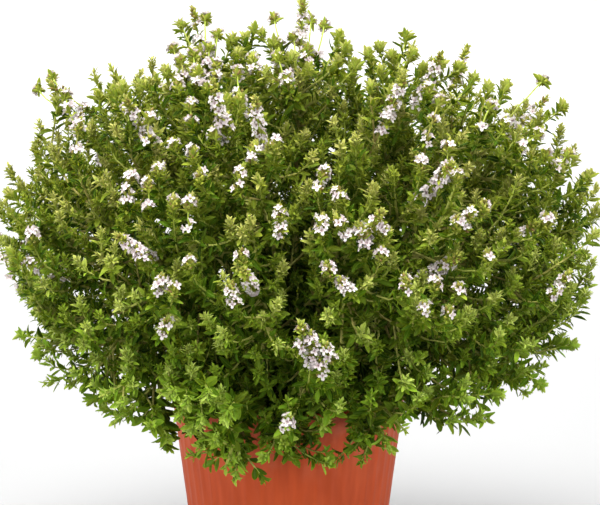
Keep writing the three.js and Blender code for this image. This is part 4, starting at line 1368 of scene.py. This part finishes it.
def draw_flowers(skin, feet, stems, ahead, luck):
    """Flowers at their feet: most are open, some are closed buds and some only a calyx."""
    count = len(feet)
    age = luck.uniform(0, 1, count)
    upward = unit(stems - ahead * (stems * ahead).sum(1)[:, None] + 1e-6)
    sizes = luck.uniform(*FLOWER_SIZES, count)
    fates = luck.uniform(0, 1, count)
    cup = feet + ahead * 0.4
    draw_copies(skin, CALYX, cup, ahead, upward, sizes * CALYX_SIZE, CALYX_GREEN, fates)
    mouth = cup + ahead * (TUBE_LENGTH * sizes)[:, None]
    nodding = unit(ahead - stems * 0.12 + UP * 0.12)
    upward = unit(stems - nodding * (stems * nodding).sum(1)[:, None])
    upward = turned_about(upward, nodding, luck.normal(0, 14, count))
    shown = age < OPEN_UNTIL
    for form in (COROLLA, *ANTHERS):
        draw_copies(skin, form, mouth[shown], nodding[shown], upward[shown], sizes[shown],
                    PETAL, fates[shown])
    shown = age > BUD_FROM
    draw_copies(skin, BUD, (mouth - ahead * BUD_SUNK)[shown], nodding[shown], upward[shown],
                sizes[shown] * BUD_SIZE, PETAL, fates[shown])


def grow_whorls(skin, curve, side, places, luck, fullness=1.0):
    """Whorls up a shoot: flowers stand out all round it, from the axils of two small leaves."""
    points, stems, u, _ = frames_on(curve, places, side)
    leaves = []
    for k in range(len(points)):
        count = max(2, int(round(luck.integers(*WHORL_FLOWERS) * fullness)))
        stem = np.tile(stems[k], (count, 1))
        turn = luck.uniform(0, 360)
        around = turn + 360 * np.arange(count) / count + luck.normal(0, 14, count)
        sides = turned_about(np.tile(u[k], (count, 1)), stem, around)
        slants = np.radians(luck.uniform(*WHORL_SLANTS, count))[:, None]
        ahead = unit(stem * np.cos(slants) + sides * np.sin(slants) + UP * 0.05)
        feet = points[k] + sides * 0.4 + stem * luck.uniform(-WHORL_DEPTH, WHORL_DEPTH, (count, 1))
        draw_flowers(skin, feet, stem, ahead, luck)
        stem = np.tile(stems[k], (4, 1))
        pairs = turned_about(np.tile(u[k], (4, 1)), stem, turn + np.array(WHORL_LEAF_TURNS))
        base = points[k] + pairs * 0.3 - stem * np.array(WHORL_LEAF_DROPS)[:, None]
        spreads = np.full(4, WHORL_LEAF_SPREAD)
        youth_and_shade = np.full(4, WHORL_LEAF_YOUTH)
        lengths = np.array(WHORL_LEAF_LENGTHS)
        leaves.append(leaf_rows(base, stem, pairs, spreads, lengths, LEAF_WIDTH, youth_and_shade, luck))
    return leaves


def grow_head(skin, end, heading, side, luck):
    """The buds in the head of a flowering shoot."""
    share = (np.arange(HEAD_BUDS) + 0.5) / HEAD_BUDS
    stems = np.tile(heading, (HEAD_BUDS, 1))
    sides = turned_about(np.tile(side, (HEAD_BUDS, 1)), stems, GOLDEN_TURN * np.arange(HEAD_BUDS))
    slants = np.radians(20 + 50 * share)[:, None]
    feet = end + sides * 0.3 - heading * (6 * share)[:, None]
    ahead = unit(stems * np.cos(slants) + sides * np.sin(slants))
    upward = unit(np.cross(ahead, heading + 0.01))
    sizes = luck.uniform(*HEAD_BUD_SIZES, HEAD_BUDS)
    fates = luck.uniform(0.2, 1, HEAD_BUDS)
    draw_copies(skin, BUD, feet, ahead, upward, sizes, CALYX_GREEN, fates)


def calyx_finish():
    """Calyx and bud: yellow-green, flushed with brownish purple on some."""
    material, shader, node, link = new_finish("calyx_green", 0.6, 0.04)
    life = node("SeparateXYZ")
    link(node("Attribute", attribute_name="life").outputs["Vector"], life.inputs[0])
    place = node("SeparateXYZ")
    link(node("Attribute", attribute_name="place").outputs["Vector"], place.inputs[0])
    colour = blended(node, link, "MIX", place.outputs["X"], (0.16, 0.20, 0.020), (0.36, 0.36, 0.060))
    colour = blended(node, link, "MIX", scaled(node, link, life.outputs["X"], 0.4, 1, 0, 0.8),
                     colour, (0.16, 0.07, 0.045))
    link(colour, shader.inputs["Base Color"])
    shader.inputs["Subsurface Weight"].default_value = 0.2
    shader.inputs["Subsurface Radius"].default_value = (0.8, 1.0, 0.3)
    shader.inputs["Subsurface Scale"].default_value = 0.0008
    return material


def petal_finish():
    """Thin petals: white with a breath of pink at the lobes, dull purple down in the throat."""
    material, shader, node, link = new_finish("pale_petal", 0.65, 0.08)
    life = node("SeparateXYZ")
    link(node("Attribute", attribute_name="life").outputs["Vector"], life.inputs[0])
    place = node("SeparateXYZ")
    link(node("Attribute", attribute_name="place").outputs["Vector"], place.inputs[0])
    pale = blended(node, link, "MIX", life.outputs["X"], (0.57, 0.475, 0.48), (0.64, 0.59, 0.555))
    colour = blended(node, link, "MIX", scaled(node, link, place.outputs["X"], 0.1, 0.6, 0.85, 0),
                     pale, (0.26, 0.12, 0.15))
    link(colour, shader.inputs["Base Color"])
    shader.inputs["Subsurface Weight"].default_value = 0.45
    shader.inputs["Subsurface Radius"].default_value = (1.0, 0.85, 0.8)
    shader.inputs["Subsurface Scale"].default_value = 0.0014
    return material


bloom_finishes = [thyme_leaf, thyme_stem, calyx_finish(), petal_finish()]


def make_bloom(number, shoot):
    """The flower spike on a stem's tip: four whorls on a green stalk under a head of buds."""
    luck = np.random.default_rng(2000 + number)
    skin = new_skin()
    curve = shoot["spike"]["curve"]
    side = shoot["spike"]["side"]
    stalk = {"curve": curve, "side": side, "widths": (shoot["widths"][1], 0.6)}
    draw_stem(skin, stalk, luck, (0.8, 1))
    leaves = grow_whorls(skin, curve, side, SPIKE_WHORLS, luck)
    points, stems, u, _ = frames_on(curve, (0.9,), side)
    grow_head(skin, points[0] + stems[0] * 3, stems[0], u[0], luck)
    leaves.append(head_leaves(stalk, luck))
    draw_leaves(skin, np.concatenate(leaves))
    piece = new_plant_piece(f"flower_spike_{number:02d}", skin, bloom_finishes)
    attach(piece, "root")
    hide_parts(f"bloom_{number:02d}")


shoots = [shoot for spray in sprays for shoot in (spray["stem"], *spray["side_shoots"])]
topped = [shoot for shoot in shoots if "spike" in shoot]
for number, shoot in enumerate(topped, 1):
    make_bloom(number, shoot)

# ---------------------------------------------------------------------------------------------
# More flowers: many twigs bear whorls too, up their last one to three centimetres, and end in
# a head of green buds. Those of one spray are one piece.
# ---------------------------------------------------------------------------------------------
TWIG_FULLNESS = 0.85
TOP_WHORL = 3.0


def make_twig_flowers(number, spray):
    """All the whorls and heads on one spray's twigs, if it has any."""
    luck = np.random.default_rng(3000 + number)
    skin = new_skin()
    leaves = []
    for twig in spray["twigs"]:
        if twig["whorls"]:
            points, stems, u, _ = frames_on(twig["curve"], (1.0,), twig["side"])
            from_tip = np.linspace(TOP_WHORL, max(twig["column"] - 3, TOP_WHORL), twig["whorls"])[::-1]
            places = 1 - from_tip / curve_length(twig["curve"])
            leaves += grow_whorls(skin, twig["curve"], twig["side"], places, luck, TWIG_FULLNESS)
            grow_head(skin, points[0], stems[0], u[0], luck)
            leaves.append(head_leaves(twig, luck))
    if not leaves:
        return
    draw_leaves(skin, np.concatenate(leaves))
    piece = new_plant_piece(f"twig_flowers_{number:02d}", skin, bloom_finishes)
    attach(piece, "root")


for number, spray in enumerate(sprays, 1):
    make_twig_flowers(number, spray)

# ---------------------------------------------------------------------------------------------
# The studio: a plain pale floor that runs back out of sight, and soft light from all round. One
# large soft lamp hangs above the front left, one stands low at each side, and one lights the
# floor behind. The camera looks at the plant from a little above.
# ---------------------------------------------------------------------------------------------
FLOOR_HALF = 9.0
RIM_PIXEL = (288.0, 385.0)
RIM_PIXELS_ACROSS = 234.0
FRAME_PIXELS = (600.0, 505.0)
CAMERA_LIFT = 14.0
CAMERA_DISTANCE = 1.35
FLOOR_TONES = ((0.262, 0.262, 0.262), (0.272, 0.272, 0.272))
SKY_STRENGTH = 0.80
# Each lamp's name, place, what it aims at, its width in metres and its watts.
LAMPS = (
    ("key", (-0.25, -0.6, 2.1), (0, 0, 0.2), 1.6, 102),
    ("left", (-2.3, -1.4, 0.5), (0, 0, 0.15), 1.6, 62),
    ("right", (2.3, -1.4, 0.5), (0, 0, 0.15), 1.6, 60),
    ("back", (0, 3.0, 1.2), (0, 3.0, 0), 3.2, 150),
)


def floor_finish():
    material, shader, node, link = new_finish("pale_floor", 0.6, 0.3)
    cloud = noise(node, link, node("TexCoord").outputs["Object"], 3, 3.0)
    link(blended(node, link, "MIX", cloud, *FLOOR_TONES), shader.inputs["Base Color"])
    return material


def make_floor():
    half = FLOOR_HALF / MM
    points = [(-half, -half, 0), (half, -half, 0), (half, half, 0), (-half, half, 0)]
    floor = new_piece("floor", points, [[0, 1, 2, 3]], [floor_finish()])


def make_lights():
    world = bpy.data.worlds.new("studio")
    bpy.context.scene.world = world
    world.use_nodes = True
    sky = world.node_tree.nodes["Background"]
    sky.inputs["Color"].default_value = (1, 1, 1, 1)
    sky.inputs["Strength"].default_value = SKY_STRENGTH
    for name, place, aim, size, power in LAMPS:
        lamp = bpy.data.lights.new(name, "AREA")
        lamp.shape = "DISK"
        lamp.size = size
        lamp.energy = power
        holder = bpy.data.objects.new(name, lamp)
        holder.location = place
        back = np.array(place) - aim
        tilt = math.atan2(np.hypot(back[0], back[1]), back[2])
        holder.rotation_euler = (tilt, 0, math.atan2(back[0], -back[1]))
        bpy.context.collection.objects.link(holder)


def make_camera():
    """Sees the rim as wide as the picture does, and in the same place."""
    camera = bpy.data.cameras.new("camera")
    camera.clip_end = 60
    focal = CAMERA_DISTANCE / (2 * RIM_RADIUS * MM) * RIM_PIXELS_ACROSS
    camera.lens = camera.sensor_width * focal / FRAME_PIXELS[0]
    right_of = math.atan((FRAME_PIXELS[0] / 2 - RIM_PIXEL[0]) / focal)
    above = math.atan((RIM_PIXEL[1] - FRAME_PIXELS[1] / 2) / focal)
    lift = math.radians(CAMERA_LIFT)
    holder = bpy.data.objects.new("camera", camera)
    height = POT_HEIGHT * MM + CAMERA_DISTANCE * math.sin(lift)
    holder.location = (0, -CAMERA_DISTANCE * math.cos(lift), height)
    holder.rotation_euler = (math.pi / 2 - lift + above, 0, -right_of)
    bpy.context.collection.objects.link(holder)
    bpy.context.scene.camera = holder


make_floor()
make_lights()
make_camera()
bpy.context.scene.view_settings.view_transform = "Standard"
